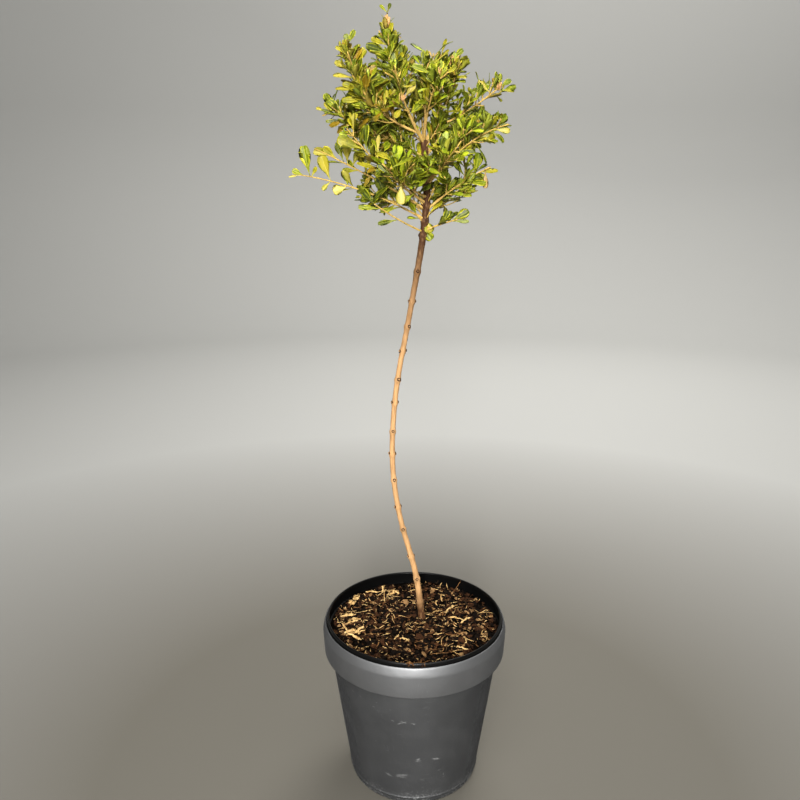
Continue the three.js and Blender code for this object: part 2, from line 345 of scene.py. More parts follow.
# bark: streaks up the wood, darker patches, and a fleck-broken dark tone for painted shade and a darker foot
def buildBarkGrain():
    group, m, given, place, out = newGroup(
        "barkGrain", ("Young", "Shade", "Old"), {"Age": 0.0}, ("Color", "Height")
    )
    streaks = m.noise(m.stretch(place, (1, 1, 0.09)), 900, 4.0, 0.6, 0.4)
    flecks = m.noise(m.stretch(place, (1, 1, 0.35)), 620, 3.0, 0.55)
    patches = m.noise(m.stretch(place, (1, 1, 0.4)), 150, 3.0)
    streaked = m.blend(m.spread(streaks, 0.45, 0.7, 0.0, 0.8), given["Young"], given["Shade"])
    patched = m.blend(m.spread(patches, 0.5, 0.7, 0.0, 0.55), streaked, given["Shade"])
    # painted shade and the darker foot, broken by flecks
    shadeAndFootShare = m.maths("MULTIPLY", given["Age"], m.spread(flecks, 0.3, 0.52, 0.7, 1.0))
    m.join(m.blend(shadeAndFootShare, patched, given["Old"]), out["Color"])
    m.join(m.mixed(streaks, 0.7, flecks), out["Height"])
    return group


# scuffs on the round wall lie in bands: turns from the front in degrees, heights and half widths in
# millimetres, how many, and how strong
scuffBands = (
    {"turns": (-18, 4), "heights": (95, 99), "wide": (1.5, 5), "count": 4, "strength": 0.6},
    {"turns": (-4, 26), "heights": (52, 55), "wide": (1.2, 5), "count": 4, "strength": 0.55},
    {"turns": (-24, -8), "heights": (28, 34), "wide": (3, 9), "count": 3, "strength": 0.34},
    {"turns": (0, 30), "heights": (25, 38), "wide": (1.4, 2.4), "count": 4, "strength": 0.34},
    {"turns": (-56, -18), "heights": (98, 118), "wide": (0.6, 2.2), "count": 9, "strength": 0.42},
    {"turns": (44, 56), "heights": (47, 84), "wide": (0.4, 0.8), "count": 4, "strength": 0.7},
    {"turns": (-30, 20), "heights": (60, 80), "wide": (1, 2), "count": 2, "strength": 0.3},
)


def drawScuffs():
    rng = random.Random(31)
    scuffs = []
    for band in scuffBands:
        for _ in range(band["count"]):
            wide = rng.uniform(*band["wide"])
            place = (rng.uniform(*band["turns"]), rng.uniform(*band["heights"]))
            strength = band["strength"] * rng.uniform(0.8, 1.2)
            scuffs.append((*place, wide, wide * rng.uniform(0.08, 0.26), rng.uniform(-20, 25), strength))
    return scuffs


# wall: scuffs laid out flat as turn and height, and grit near the foot
def buildWallMarks():
    group, m, _, place, out = newGroup("wallMarks", (), {}, ("Mask",))
    wallReach = 75 * mm
    split = m.add("SeparateXYZ")
    m.join(place, split.inputs["Vector"])
    turn = m.maths("ARCTAN2", split.outputs["X"], m.maths("MULTIPLY", split.outputs["Y"], -1.0))
    flat = m.add("CombineXYZ")
    m.join(m.maths("MULTIPLY", turn, wallReach), flat.inputs["X"])
    m.join(split.outputs["Z"], flat.inputs["Y"])
    ragged = m.add("MixRGB", blend_type="LINEAR_LIGHT")
    ragged.inputs["Fac"].default_value = 0.0016
    crumple = m.add("TexNoise", Scale=620.0, Detail=3.0)
    m.join(place, crumple.inputs["Vector"])
    m.join(flat.outputs["Vector"], ragged.inputs["Color1"])
    m.join(crumple.outputs["Color"], ragged.inputs["Color2"])
    total = None
    for degrees, height, halfWidth, halfHeight, tilt, strength in drawScuffs():
        mark = m.add("Mapping", vector_type="TEXTURE", Scale=(halfWidth * mm, halfHeight * mm, 1))
        mark.inputs["Location"].default_value = (math.radians(degrees) * wallReach, height * mm, 0)
        mark.inputs["Rotation"].default_value = (0, 0, math.radians(tilt))
        m.join(ragged.outputs["Color"], mark.inputs["Vector"])
        mask = m.spread(m.length(mark.outputs["Vector"]), 0.5, 1.15, strength, 0.0)
        total = mask if total is None else m.maths("MAXIMUM", total, mask)
    broken = m.spread(m.noise(place, 900, 3.0, 0.7), 0.34, 0.56, 0.4, 1.0)
    grit = m.spread(m.noise(place, 560, 3.0, 0.7), 0.54, 0.62)
    low = m.spread(split.outputs["Z"], 3 * mm, 18 * mm, 0.6, 0.0)
    patchy = m.spread(m.noise(place, 60, 2.0), 0.38, 0.54)
    foot = m.maths("MULTIPLY", m.maths("MULTIPLY", grit, low), patchy)
    m.join(m.maths("MAXIMUM", m.maths("MULTIPLY", total, broken), foot), out["Mask"])
    return group


# moulded plastic: faint clouds, short scratches in patches, specks of dust, wall marks and orange peel
def buildPlasticWear():
    group, m, given, place, out = newGroup(
        "plasticWear", ("Base", "Scratch"), {"Wear": 1.0, "Gloss": 0.4}, ("Color", "Roughness", "Height")
    )
    clouds = m.noise(place, 34, 4.0, 0.6)
    peel = m.noise(place, 900, 2.0)
    masks = []
    for scale, turn, width in (((1, 1, 7), 0.35, 0.012), ((5, 1, 1), -0.5, 0.01), ((1, 1, 9), -0.2, 0.009)):
        line = m.noise(m.stretch(place, scale, (turn, turn * 0.6, turn)), 38, 2.0, 0.45, 0.25)
        away = m.maths("ABSOLUTE", m.maths("SUBTRACT", line, 0.5), 0.0)
        where = m.noise(m.stretch(place, (1 + turn, 1, 1 - turn)), 42, 2.0)
        masks.append(m.maths("MULTIPLY", m.spread(away, 0.0, width, 1.0, 0.0), m.spread(where, 0.62, 0.7)))
    scratches = m.maths("MAXIMUM", m.maths("MAXIMUM", masks[0], masks[1]), masks[2])
    dust = m.spread(m.noise(place, 420, 2.0, 0.7), 0.72, 0.78)
    dusty = m.maths("MULTIPLY", dust, m.spread(m.noise(place, 18, 2.0), 0.5, 0.7))
    faint = m.maths("MULTIPLY", m.maths("MAXIMUM", scratches, dusty), 0.16)
    scuffs = m.add("Group")
    scuffs.node_tree = bpy.data.node_groups["wallMarks"]
    m.join(place, scuffs.inputs["Vector"])
    marks = m.maths("MULTIPLY", m.maths("MAXIMUM", scuffs.outputs["Mask"], faint), given["Wear"])
    cloud = m.maths("MULTIPLY", m.spread(clouds, 0.45, 0.75, 0.0, 0.04), given["Wear"])
    cloudy = m.blend(cloud, given["Base"], given["Scratch"])
    m.join(m.blend(marks, cloudy, given["Scratch"]), out["Color"])
    rough = m.maths("ADD", given["Gloss"], m.spread(clouds, 0.35, 0.7, -0.02, 0.03))
    m.join(m.maths("ADD", rough, m.maths("MULTIPLY", marks, 0.2)), out["Roughness"])
    waves = m.noise(place, 110, 2.0)
    relief = m.maths("ADD", m.maths("MULTIPLY", peel, 0.25), m.maths("MULTIPLY", marks, -0.8))
    m.join(m.maths("ADD", relief, m.maths("MULTIPLY", waves, 1.4)), out["Height"])
    return group


# chipped bark and straw: a tone that shifts from place to place, with grain and grit
def buildChipGrain():
    group, m, given, place, out = newGroup("chipGrain", ("Base", "Deep", "Pale"), {}, ("Color", "Height"))
    broad = m.noise(place, 170, 2.0)
    grain = m.noise(m.stretch(place, (1, 0.25, 1)), 900, 4.0, 0.65, 0.5)
    grit = m.noise(place, 2300, 2.0)
    toned = m.blend(m.spread(broad, 0.38, 0.62, 0.0, 0.85), given["Base"], given["Deep"])
    grained = m.blend(m.spread(grain, 0.5, 0.72, 0.0, 0.6), toned, given["Pale"])
    m.join(grained, out["Color"])
    m.join(m.mixed(grain, 0.7, grit), out["Height"])
    return group


groups = {
    "leaf": buildLeafGrain(),
    "bark": buildBarkGrain(),
    "marks": buildWallMarks(),
    "plastic": buildPlasticWear(),
    "chip": buildChipGrain(),
}


def newFinish(name, groupName, colours, bumpStrength, bumpReach, roughness=None, **plain):
    # one material: a Principled surface fed by a shared group that reads the piece's own place
    material = bpy.data.materials.new(name)
    material.use_nodes = True
    m = NodeMaker(material.node_tree)
    surface = material.node_tree.nodes["Principled BSDF"]
    for key, value in plain.items():
        surface.inputs[key.replace("_", " ")].default_value = value
    grain = m.add("Group")
    grain.node_tree = groups[groupName]
    where = m.add("TexCoord")
    m.join(where.outputs["Object"], grain.inputs["Vector"])
    for key, value in colours.items():
        grain.inputs[key].default_value = value
    m.join(grain.outputs["Color"], surface.inputs["Base Color"])
    if "Roughness" in grain.outputs:
        m.join(grain.outputs["Roughness"], surface.inputs["Roughness"])
    else:
        surface.inputs["Roughness"].default_value = roughness
    bump = m.add("Bump")
    bump.inputs["Strength"].default_value = bumpStrength
    bump.inputs["Distance"].default_value = bumpReach
    m.join(grain.outputs["Height"], bump.inputs["Height"])
    m.join(bump.outputs["Normal"], surface.inputs["Normal"])
    return material


# small repeated things are heaped up as points and faces and made one mesh at the end

def newHeap():
    return {"points": [], "faces": [], "slots": [], "smooth": []}


def heapAdd(heap, points, faces, slots, smooth=True):
    first = len(heap["points"])
    heap["points"].extend(points)
    heap["faces"].extend([tuple(first + i for i in face) for face in faces])
    heap["slots"].extend(slots if isinstance(slots, list) else [slots] * len(faces))
    heap["smooth"].extend([smooth] * len(faces))


def heapPiece(name, heap, materials):
    mesh = bpy.data.meshes.new(name)
    mesh.from_pydata([tuple(p) for p in heap["points"]], [], heap["faces"])
    mesh.polygons.foreach_set("material_index", heap["slots"])
    mesh.polygons.foreach_set("use_smooth", heap["smooth"])
    for material in materials:
        mesh.materials.append(material)
    mesh.update()
    piece = bpy.data.objects.new(name, mesh)
    bpy.context.scene.collection.objects.link(piece)
    return piece


# outer pot

outerPot = {
    "sides": 160,
    "wall": 2.0,
    "footRadius": 60.4,
    "footRound": 3.0,
    "bead": {"height": 7.0, "halfWidth": 1.8, "proud": 0.55},
    "shoulderRadius": 78.2,
    "collarBottom": 127.5,
    "collarLowRadius": 84.0,
    "collarRadius": 85.0,
    "collarRoundFrom": 147.6,
    "edgeRound": 1.3,
    "collarLean": (
        *((2.0, 0.6), (5.0, 0.6), (8.0, 0.7), (11.0, 0.8), (13.0, 1.2), (14.0, 1.2), (15.0, 1.2)),
        *((16.0, 1.2), (18.0, 0.8), (28.0, 0.35), (40.0, 0.35), (58.0, 0.3), (76.0, 0.25)),
    ),
    "lipRadius": 82.2,
    "height": 156.5,
    "warp": 0.2,
    # one plastic in two copies: the body darker, as painted shade, and the collar lighter, as painted light
    "finishes": (("anthraciteBodyPaintedShade", (88, 89, 91), 0.58), ("anthraciteCollarPaintedLight", (114, 115, 117), 0.54)),
    "scratchColour": (176, 177, 178),
    "sheen": {"Metallic": 0.9, "Specular_Tint": (0.16, 0.16, 0.16, 1)},
}


def collarCurve(p):
    # the collar leans in towards its lip, and the lean grows steadily
    points = []
    place = Vector((p["collarRadius"], p["collarRoundFrom"]))
    for lean, run in p["collarLean"]:
        place = place + Vector((-math.sin(math.radians(lean)), math.cos(math.radians(lean)))) * run
        points.append(tuple(place))
    return [(p["collarRadius"], p["collarRoundFrom"]), *points]


def outerPotProfile():
    p = outerPot
    slope = (p["shoulderRadius"] - p["footRadius"]) / p["collarBottom"]
    bead, edge = p["bead"], p["edgeRound"]

    def body(height):
        return p["footRadius"] + slope * height

    foot = p["footRound"]
    profile = [(body(0) - foot - 8, 0.0)]
    profile += arc(body(foot) - foot, foot, foot, foot, -90, 0, 6)
    for i in range(9):
        height = bead["height"] + bead["halfWidth"] * (i / 4 - 1)
        proud = bead["proud"] * 0.5 * (1 + math.cos(math.pi * (i / 4 - 1)))
        profile.append((body(height) + proud, height))
    profile += [(body(height), height) for height in (14, 34, 56, 78, 100, 118)]
    profile.append((p["shoulderRadius"], p["collarBottom"] - 0.01))
    profile += arc(p["collarLowRadius"] - edge, p["collarBottom"] + edge, edge, edge, -90, 0, 4)
    profile.append((lerp(p["collarLowRadius"], p["collarRadius"], 0.5), 138))
    profile += collarCurve(p)
    profile.append((p["lipRadius"] + 0.1, p["height"] - 0.1))
    profile += [
        (p["lipRadius"], p["collarBottom"] + p["wall"]),
        (p["shoulderRadius"] - p["wall"], p["collarBottom"] + p["wall"] - 0.01),
        (body(p["wall"] + 3) - p["wall"], p["wall"] + 3),
        (body(p["wall"]) - p["wall"] - 3, p["wall"]),
    ]
    return profile


def warpWall(piece, amount):
    # thin moulded walls are never quite round
    for vertex in piece.data.vertices:
        turn = math.atan2(vertex.co.y, vertex.co.x)
        rise = ramp(vertex.co.z, 20 * mm, 150 * mm)
        wave = math.sin(2 * turn + 0.7) * 0.6 + math.sin(5 * turn - 1.1) * 0.25 + math.sin(9 * turn) * 0.15
        vertex.co += Vector((math.cos(turn), math.sin(turn), 0)) * (wave * amount * mm * rise)


def potPlastic(name, pot, colour, gloss, wear, bumpStrength, bumpReach, **plain):
    colours = {"Base": paint(*colour), "Scratch": paint(*pot["scratchColour"]), "Wear": wear, "Gloss": gloss}
    return newFinish(name, "plastic", colours, bumpStrength, bumpReach, **plain)


def buildOuterPot():
    piece = turnedPiece("potOuter", outerPotProfile(), outerPot["sides"])
    warpWall(piece, outerPot["warp"])
    smoothShade(piece, 35)
    for name, colour, gloss in outerPot["finishes"]:
        finish = potPlastic(name, outerPot, colour, gloss, 1.0, 0.3, 0.5 * mm, **outerPot["sheen"])
        piece.data.materials.append(finish)
    # the collar takes the lighter copy, painted light, and the body the darker one, painted shade
    for face in piece.data.polygons:
        face.material_index = int(face.center.z > (outerPot["collarBottom"] + 0.1) * mm)
    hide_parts("outer_pot")
    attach(piece, "root")


# nursery pot

nurseryPot = {
    "sides": 160,
    "stand": 2.3,
    "wall": 1.2,
    "floor": 1.4,
    "footRadius": 56.5,
    "footRound": 2.5,
    "flare": 0.1424,
    "rimFrom": 146.0,
    "rimRadius": 81.3,
    "rimWidth": 2.2,
    "top": 159.8,
    "colour": (6, 6, 6),
    "scratchColour": (30, 30, 31),
}


def nurseryRadius(height):
    return nurseryPot["footRadius"] + nurseryPot["flare"] * (height - outerPot["wall"])


def nurseryPotProfile():
    p = nurseryPot
    low, roundness, wall, rim = p["stand"], p["footRound"], p["wall"], p["rimRadius"]
    edge = p["rimWidth"] / 2
    profile = [(nurseryRadius(low) - 12, low)]
    profile += arc(nurseryRadius(low) - roundness, low + roundness, roundness, roundness, -90, 0, 4)
    profile += [(nurseryRadius(height), height) for height in (40, 80, 120)]
    profile += [(nurseryRadius(p["rimFrom"]), p["rimFrom"]), (rim, p["rimFrom"] + 0.8)]
    profile += arc(rim - edge, p["top"] - edge, edge, edge, 0, 180, 10)
    profile += [
        (rim - wall, p["top"] - 3.4),
        (rim - wall, p["rimFrom"] + 2),
        (nurseryRadius(p["rimFrom"]) - wall, p["rimFrom"]),
        (nurseryRadius(low + p["floor"]) - wall, low + p["floor"]),
        (20, low + p["floor"]),
    ]
    return profile


def buildNurseryPot():
    piece = turnedPiece("potNursery", nurseryPotProfile(), nurseryPot["sides"])
    smoothShade(piece, 35)
    plastic = ("blackPlastic", nurseryPot, nurseryPot["colour"], 0.34, 0.15, 0.2, 0.3 * mm)
    piece.data.materials.append(potPlastic(*plastic, Specular_IOR_Level=0.14))
    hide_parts("nursery_pot")
    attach(piece, "root")


buildOuterPot()
buildNurseryPot()
print("pots made")


# potting mix with its bark mulch

mulch = {
    "sides": 96,
    "level": 148.3,
    "edgeRadius": 78.6,
    "ledgeRadius": 75.2,
    "ledgeHeight": 146.0,
    "floorHeight": 4.0,
    "waves": (11.0, 13.0),
    "waveHeight": 1.2,
    "seed": 41,
    "chips": 2700,
    "fibres": 420,
    "crumbs": 330,
    "chipReach": 79,
    "fibreReach": 76,
    "crumbReach": 77,
    "scrapReach": 73,
    "clear": 2.5,
    # the soil is near black: its own dark tone and painted shade where it shows between the chips
    "bedTonesWithPaintedShade": ((7, 5, 3), (5, 3, 2), (26, 17, 10)),
}


def tonePaints(tones):
    return {key: paint(*tone) for key, tone in zip(("Base", "Deep", "Pale"), tones)}


def bedHeight(x, y):
    # the bed's height in millimetres at a place in millimetres
    wave = math.sin(x / mulch["waves"][0]) * math.cos(y / mulch["waves"][1])
    return mulch["level"] + mulch["waveHeight"] * (wave - 0.4)


def buildMulchBed():
    edge = mulch["edgeRadius"]
    low = nurseryRadius(mulch["floorHeight"]) - nurseryPot["wall"] - 0.4
    rings = [edge - i * edge / 26 for i in range(25)]
    profile = [(low - 10, mulch["floorHeight"]), (low, mulch["floorHeight"])]
    profile.append((mulch["ledgeRadius"], mulch["ledgeHeight"]))
    profile.append((edge, mulch["level"] - 0.2))
    profile += [(radius, mulch["level"]) for radius in rings]
    piece = turnedPiece("mulchBed", profile, mulch["sides"])
    for vertex in piece.data.vertices:
        if vertex.co.z > (mulch["level"] - 0.1) * mm:
            x, y = vertex.co.x / mm, vertex.co.y / mm
            lumps = noise.noise(Vector((x, y, 0)) * 0.42) * 0.9
            grit = noise.noise(Vector((x, y, 9)) * 1.1) * 0.5
            vertex.co.z = (bedHeight(x, y) + lumps + grit) * mm
    smoothShade(piece, 180)
    # near-black soil: partly its own dark tone, partly painted shade in the gaps between chips
    colours = tonePaints(mulch["bedTonesWithPaintedShade"])
    finish = newFinish("mulchSoilPaintedShade", "chip", colours, 1.0, 1.2 * mm, 0.95, Specular_IOR_Level=0.02)
    piece.data.materials.append(finish)
    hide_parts("potting_mix")
    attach(piece, "root")


def turnTo(direction, facing):
    # axes with x along direction and z towards facing
    along = direction.normalized()
    top = crossTo(along, facing)
    return along, top.cross(along), top


def addChip(heap, place, along, facing, size, rng):
    # a broken flake: an uneven outline with a slightly smaller, tilted top
    length, width, thickness = size
    ax, ay, az = turnTo(along, facing)
    count = rng.choice((5, 6, 7))
    lean = rng.uniform(-0.25, 0.25)
    low, high = [], []
    for k in range(count):
        turn = 2 * math.pi * (k + rng.uniform(-0.3, 0.3)) / count
        reach = rng.uniform(0.72, 1.08)
        x, y = length / 2 * math.cos(turn) * reach, width / 2 * math.sin(turn) * reach
        bend = -0.12 * length * (2 * x / length) ** 2
        low.append(place + ax * x + ay * y + az * (bend - thickness / 2))
        shrink = rng.uniform(0.78, 0.95)
        high.append(place + ax * x * shrink + ay * y * shrink + az * (bend + thickness / 2 + lean * y))
    faces = [tuple(reversed(range(count))), tuple(range(count, 2 * count))]
    faces += [(k, (k + 1) % count, count + (k + 1) % count, count + k) for k in range(count)]
    heapAdd(heap, low + high, faces, 0, smooth=False)


def addSliver(heap, path, widths, thickness, facing):
    # a thin flat strip along a path, pointed at both ends
    count = len(path)
    points = []
    for i, place in enumerate(path):
        along = path[min(i + 1, count - 1)] - path[max(i - 1, 0)]
        _, ay, az = turnTo(along, facing)
        half = widths[i] / 2
        points += [place - ay * half, place + az * thickness * 0.6]
        points += [place + ay * half, place - az * thickness * 0.4]
    faces = [(3, 2, 1, 0)]
    for i in range(count - 1):
        low, high = 4 * i, 4 * i + 4
        faces += [(low + k, low + (k + 1) % 4, high + (k + 1) % 4, high + k) for k in range(4)]
    faces.append(tuple(4 * (count - 1) + k for k in range(4)))
    heapAdd(heap, points, faces, 0)


def curledPath(start, direction, length, curl, lift, steps, rng):
    # a path that wanders as dry straw does
    place = start.copy()
    heading = direction.normalized()
    side = heading.cross(up).normalized() if abs(heading.z) < 0.95 else Vector((1, 0, 0))
    path = [place.copy()]
    for i in range(steps):
        heading = (heading + side * curl * rng.uniform(0.3, 1.0) + up * lift * (0.5 - i / steps)).normalized()
        place = place + heading * (length / steps)
        path.append(place.copy())
    return path


# name, share, base colour, its deep tone and its pale tone
chipKinds = (
    ("Dark", 0.54, (14, 9, 6), (5, 4, 3), (32, 21, 13)),
    ("Brown", 0.3, (48, 29, 17), (20, 12, 7), (80, 53, 31)),
    ("Rust", 0.09, (58, 35, 20), (32, 19, 11), (90, 60, 35)),
    ("Pale", 0.07, (122, 92, 60), (74, 52, 31), (168, 140, 98)),
)
fibreKinds = (
    ("Straw", 0.38, (196, 162, 108), (146, 112, 66), (228, 204, 154)),
    ("Tan", 0.34, (118, 82, 48), (74, 48, 27), (160, 122, 80)),
    ("Grey", 0.28, (50, 37, 25), (26, 18, 11), (86, 70, 52)),
)


def pickKind(kinds, rng):
    drawn = rng.random()
    for i, (_, share, *_) in enumerate(kinds):
        drawn -= share
        if drawn <= 0:
            return i
    return len(kinds) - 1


# the larger pale scraps lie in patches: turns (0 is right, 90 is the back) in degrees, reach from the
# middle, lengths and widths in millimetres, and how many
scrapPatches = (
    {"turns": (165, 215), "reach": (52, 68), "long": (8, 20), "wide": (2.4, 5), "count": 9},
    {"turns": (140, 155), "reach": (66, 74), "long": (10, 14), "wide": (6, 8), "count": 2},
    {"turns": (95, 130), "reach": (52, 70), "long": (7, 13), "wide": (3, 5), "count": 5},
    {"turns": (-50, 60), "reach": (35, 60), "long": (7, 18), "wide": (1.8, 3.2), "count": 6},
    {"turns": (235, 260), "reach": (30, 36), "long": (6, 9), "wide": (2, 2.8), "count": 2},
)


def drawScraps():
    rng = random.Random(mulch["seed"] + 1)
    rows = []
    for patch in scrapPatches:
        for _ in range(patch["count"]):
            turn, reach = math.radians(rng.uniform(*patch["turns"])), rng.uniform(*patch["reach"])
            lie, half = rng.uniform(0, math.pi), rng.uniform(*patch["long"]) / 2
            ends = []
            for sign in (-1, 1):
                x = math.cos(turn) * reach + math.cos(lie) * half * sign
                y = math.sin(turn) * reach + math.sin(lie) * half * sign
                inside = min(1, mulch["scrapReach"] / math.hypot(x, y))
                ends.append((x * inside, y * inside, mulch["level"] + rng.uniform(1.5, 5)))
            rows.append((*ends, rng.uniform(*patch["wide"])))
    return rows


# brown fibres caught on the rim: start, middle and end in millimetres
rimScraps = (
    ((-9, -80.2, 159.6), (-5.5, -81.0, 161.6), (-2, -80.4, 159.8)),
    ((-8, -81.4, 159.0), (-6, -82.4, 160.6), (-4.4, -83.4, 157.4)),
    ((-6, -80.0, 160.2), (-5, -82.0, 161.2), (-6.6, -83.2, 158.4)),
    ((-3.4, -80.6, 160.0), (-3, -82.2, 160.0), (-2.6, -83.4, 156.8)),
    ((-7.4, -80.2, 160.0), (-3.6, -81.8, 160.4), (-1.2, -82.8, 158.8)),
    ((4.6, -80.4, 159.9), (5.4, -82.0, 160.2), (5.0, -83.2, 157.4)),
    ((6.6, -80.6, 159.8), (7.0, -81.8, 160.4), (7.4, -82.8, 158.4)),
)


def strewn(count, reach, drawLength, roomFor, rng):
    # places spread evenly over the bed, each with a length in millimetres, where there is room in the pot
    wall = nurseryPot["rimRadius"] - nurseryPot["wall"] - mulch["clear"]
    for order in range(count):
        turn, away = rng.uniform(0, 2 * math.pi), reach * math.sqrt(rng.random())
        x, y = away * math.cos(turn), away * math.sin(turn)
        length = drawLength()
        if math.hypot(x, y) + roomFor(length) < wall:
            yield order, turn, x, y, length


def onBed(x, y, lift):
    return inMetres((x, y, bedHeight(x, y) + lift))


def layChips(chips, rng):
    count = mulch["chips"]
    strewnChips = strewn(
        count,
        mulch["chipReach"],
        lambda: min(11.5, 4.8 * math.exp(rng.gauss(0.0, 0.4))),
        lambda length: length / 2 - 1.6,
        rng,
    )
    for order, turn, x, y, length in strewnChips:
        place = onBed(x, y, 0.3 + 2.3 * order / count * rng.uniform(0.6, 1.1))
        heading = Vector((math.cos(turn * 7.3 + order), math.sin(turn * 7.3 + order), rng.gauss(0, 0.2)))
        facing = Vector((rng.gauss(0, 0.34), rng.gauss(0, 0.34), 1))
        size = [length * mm, length * rng.uniform(0.4, 0.8) * mm, rng.uniform(0.5, 1.6) * mm]
        addChip(chips[pickKind(chipKinds, rng)], place, heading, facing, size, rng)


def layFibres(fibres, rng):
    strewnFibres = strewn(
        mulch["fibres"],
        mulch["fibreReach"],
        lambda: min(20.0, 5.0 * math.exp(rng.gauss(0.2, 0.5))),
        lambda length: length * 0.6,
        rng,
    )
    for _, _, x, y, length in strewnFibres:
        place = onBed(x, y, rng.uniform(1.6, 3.4))
        heading = Vector((rng.gauss(0, 1), rng.gauss(0, 1), rng.gauss(0.02, 0.22)))
        path = curledPath(place, heading, length * mm, rng.gauss(0, 0.32), rng.uniform(0, 0.35), 5, rng)
        width = rng.uniform(0.35, 1.15) * mm
        widths = [width * share for share in (0.35, 0.9, 1.0, 0.95, 0.75, 0.2)]
        addSliver(fibres[pickKind(fibreKinds, rng)], path, widths, 0.3 * mm, up)


def layCrumbs(fibres, rng):
    strewnCrumbs = strewn(
        mulch["crumbs"], mulch["crumbReach"], lambda: rng.uniform(1.4, 4.2), lambda length: length, rng
    )
    for _, _, x, y, length in strewnCrumbs:
        place = onBed(x, y, rng.uniform(1.8, 3.3))
        path = curledPath(place, randomWay(rng, z=0.35), length * mm, rng.gauss(0, 0.4), 0.1, 2, rng)
        width = rng.uniform(0.45, 1.0) * mm
        addSliver(fibres[rng.choice((0, 0, 1))], path, [width * 0.5, width, width * 0.35], 0.32 * mm, up)


def layScraps(fibres, rng):
    for start, end, width in drawScraps():
        first, last = inMetres(start), inMetres(end)
        path, widths = [], []
        for i in range(11):
            share = i / 10
            arch = math.sin(math.pi * share)
            sway = Vector((rng.gauss(0, 0.5), rng.gauss(0, 0.5), rng.gauss(0.9, 0.5) * arch))
            path.append(first.lerp(last, share) + sway * mm)
            ragged = rng.uniform(0.35, 1.15) * math.sin(math.pi * (0.08 + 0.84 * share)) ** 0.6
            widths.append(width * ragged * mm)
        addSliver(fibres[0], path, widths, 0.5 * mm, Vector((rng.gauss(0, 0.5), -0.35, 1)))


def layRimScraps(chips, fibres, rng):
    for order, places in enumerate(rimScraps):
        first, middle, last = (inMetres(place) for place in places)
        path = [first, first.lerp(middle, 0.6), middle, middle.lerp(last, 0.5), last]
        widths = [rng.uniform(0.5, 1.1) * mm * share for share in (0.4, 0.9, 1, 0.8, 0.3)]
        addSliver(chips[2] if order % 2 else fibres[1], path, widths, 0.3 * mm, Vector((0, -1, 0.6)))


def buildMulch():
    rng = random.Random(mulch["seed"])
    chips = [newHeap() for _ in chipKinds]
    fibres = [newHeap() for _ in fibreKinds]
    layChips(chips, rng)
    layFibres(fibres, rng)
    layCrumbs(fibres, rng)
    layScraps(fibres, rng)
    layRimScraps(chips, fibres, rng)
    for kinds, heaps, title in ((chipKinds, chips, "mulchChips"), (fibreKinds, fibres, "mulchFibres")):
        for (name, _, *tones), heap in zip(kinds, heaps):
            colours = tonePaints(tones)
            finish = newFinish(
                title + name + "Finish", "chip", colours, 0.8, 0.5 * mm, 0.85, Specular_IOR_Level=0.04
            )
            piece = heapPiece(title + name, heap, [finish])
            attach(piece, "root")


buildMulchBed()
buildMulch()
print("mulch laid")


# stem

stemWood = {
    "sides": 20,
    "stepLength": 1.5,
    "footRadius": 3.0,
    "midRadius": 2.35,
    "thinsOver": 100.0,
    "crownRadius": 3.0,
    "crownFrom": 440.0,
    "crownTo": 530.0,
    "flareProud": 0.9,
    "flareHeight": 5.0,
    "nodeGap": 26.0,
    "nodeFrom": 166.0,
    "nodeSwell": 0.75,
    "nodeSpan": 1.9,
    "closerAbove": 480.0,
    "closerGap": 0.55,
    "scarProud": 0.95,
    "scarRadius": (1.3, 1.75),
    "seed": 7,
}


def ringCentres(node):
    # the centre of each level ring of a solid that was skinned from level rings
    rings = {}
    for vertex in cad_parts[node].data.vertices:
        rings.setdefault(round(vertex.co.z, 5), set()).add(tuple(round(value, 6) for value in vertex.co))
    return [Vector(np.mean(list(points), axis=0)) for _, points in sorted(rings.items()) if len(points) > 3]


stemRings = ringCentres("stem")


def stemAt(height):
    # the stem's centre at a height in millimetres, on a smooth line through its rings
    level = min(max(height * mm, stemRings[0].z), stemRings[-1].z)
    i = 0
    while i < len(stemRings) - 2 and stemRings[i + 1].z < level:
        i += 1
    p0, p1, p2, p3 = (stemRings[max(0, min(len(stemRings) - 1, i + k))] for k in (-1, 0, 1, 2))
    t = (level - p1.z) / (p2.z - p1.z)
    squared = (2 * p0 - 5 * p1 + 4 * p2 - p3) * t * t
    cubed = (3 * p1 - p0 - 3 * p2 + p3) * t ** 3
    place = 0.5 * (2 * p1 + (p2 - p0) * t + squared + cubed)
    return Vector((place.x, place.y, level))


def stemRadius(height):
    p = stemWood
    foot = stemRings[0].z / mm
    bare = lerp(p["footRadius"], p["midRadius"], ramp(height, foot, foot + p["thinsOver"]))
    flare = p["flareProud"] * math.exp(-(height - foot) / p["flareHeight"])
    return lerp(bare, p["crownRadius"], ramp(height, p["crownFrom"], p["crownTo"])) + flare


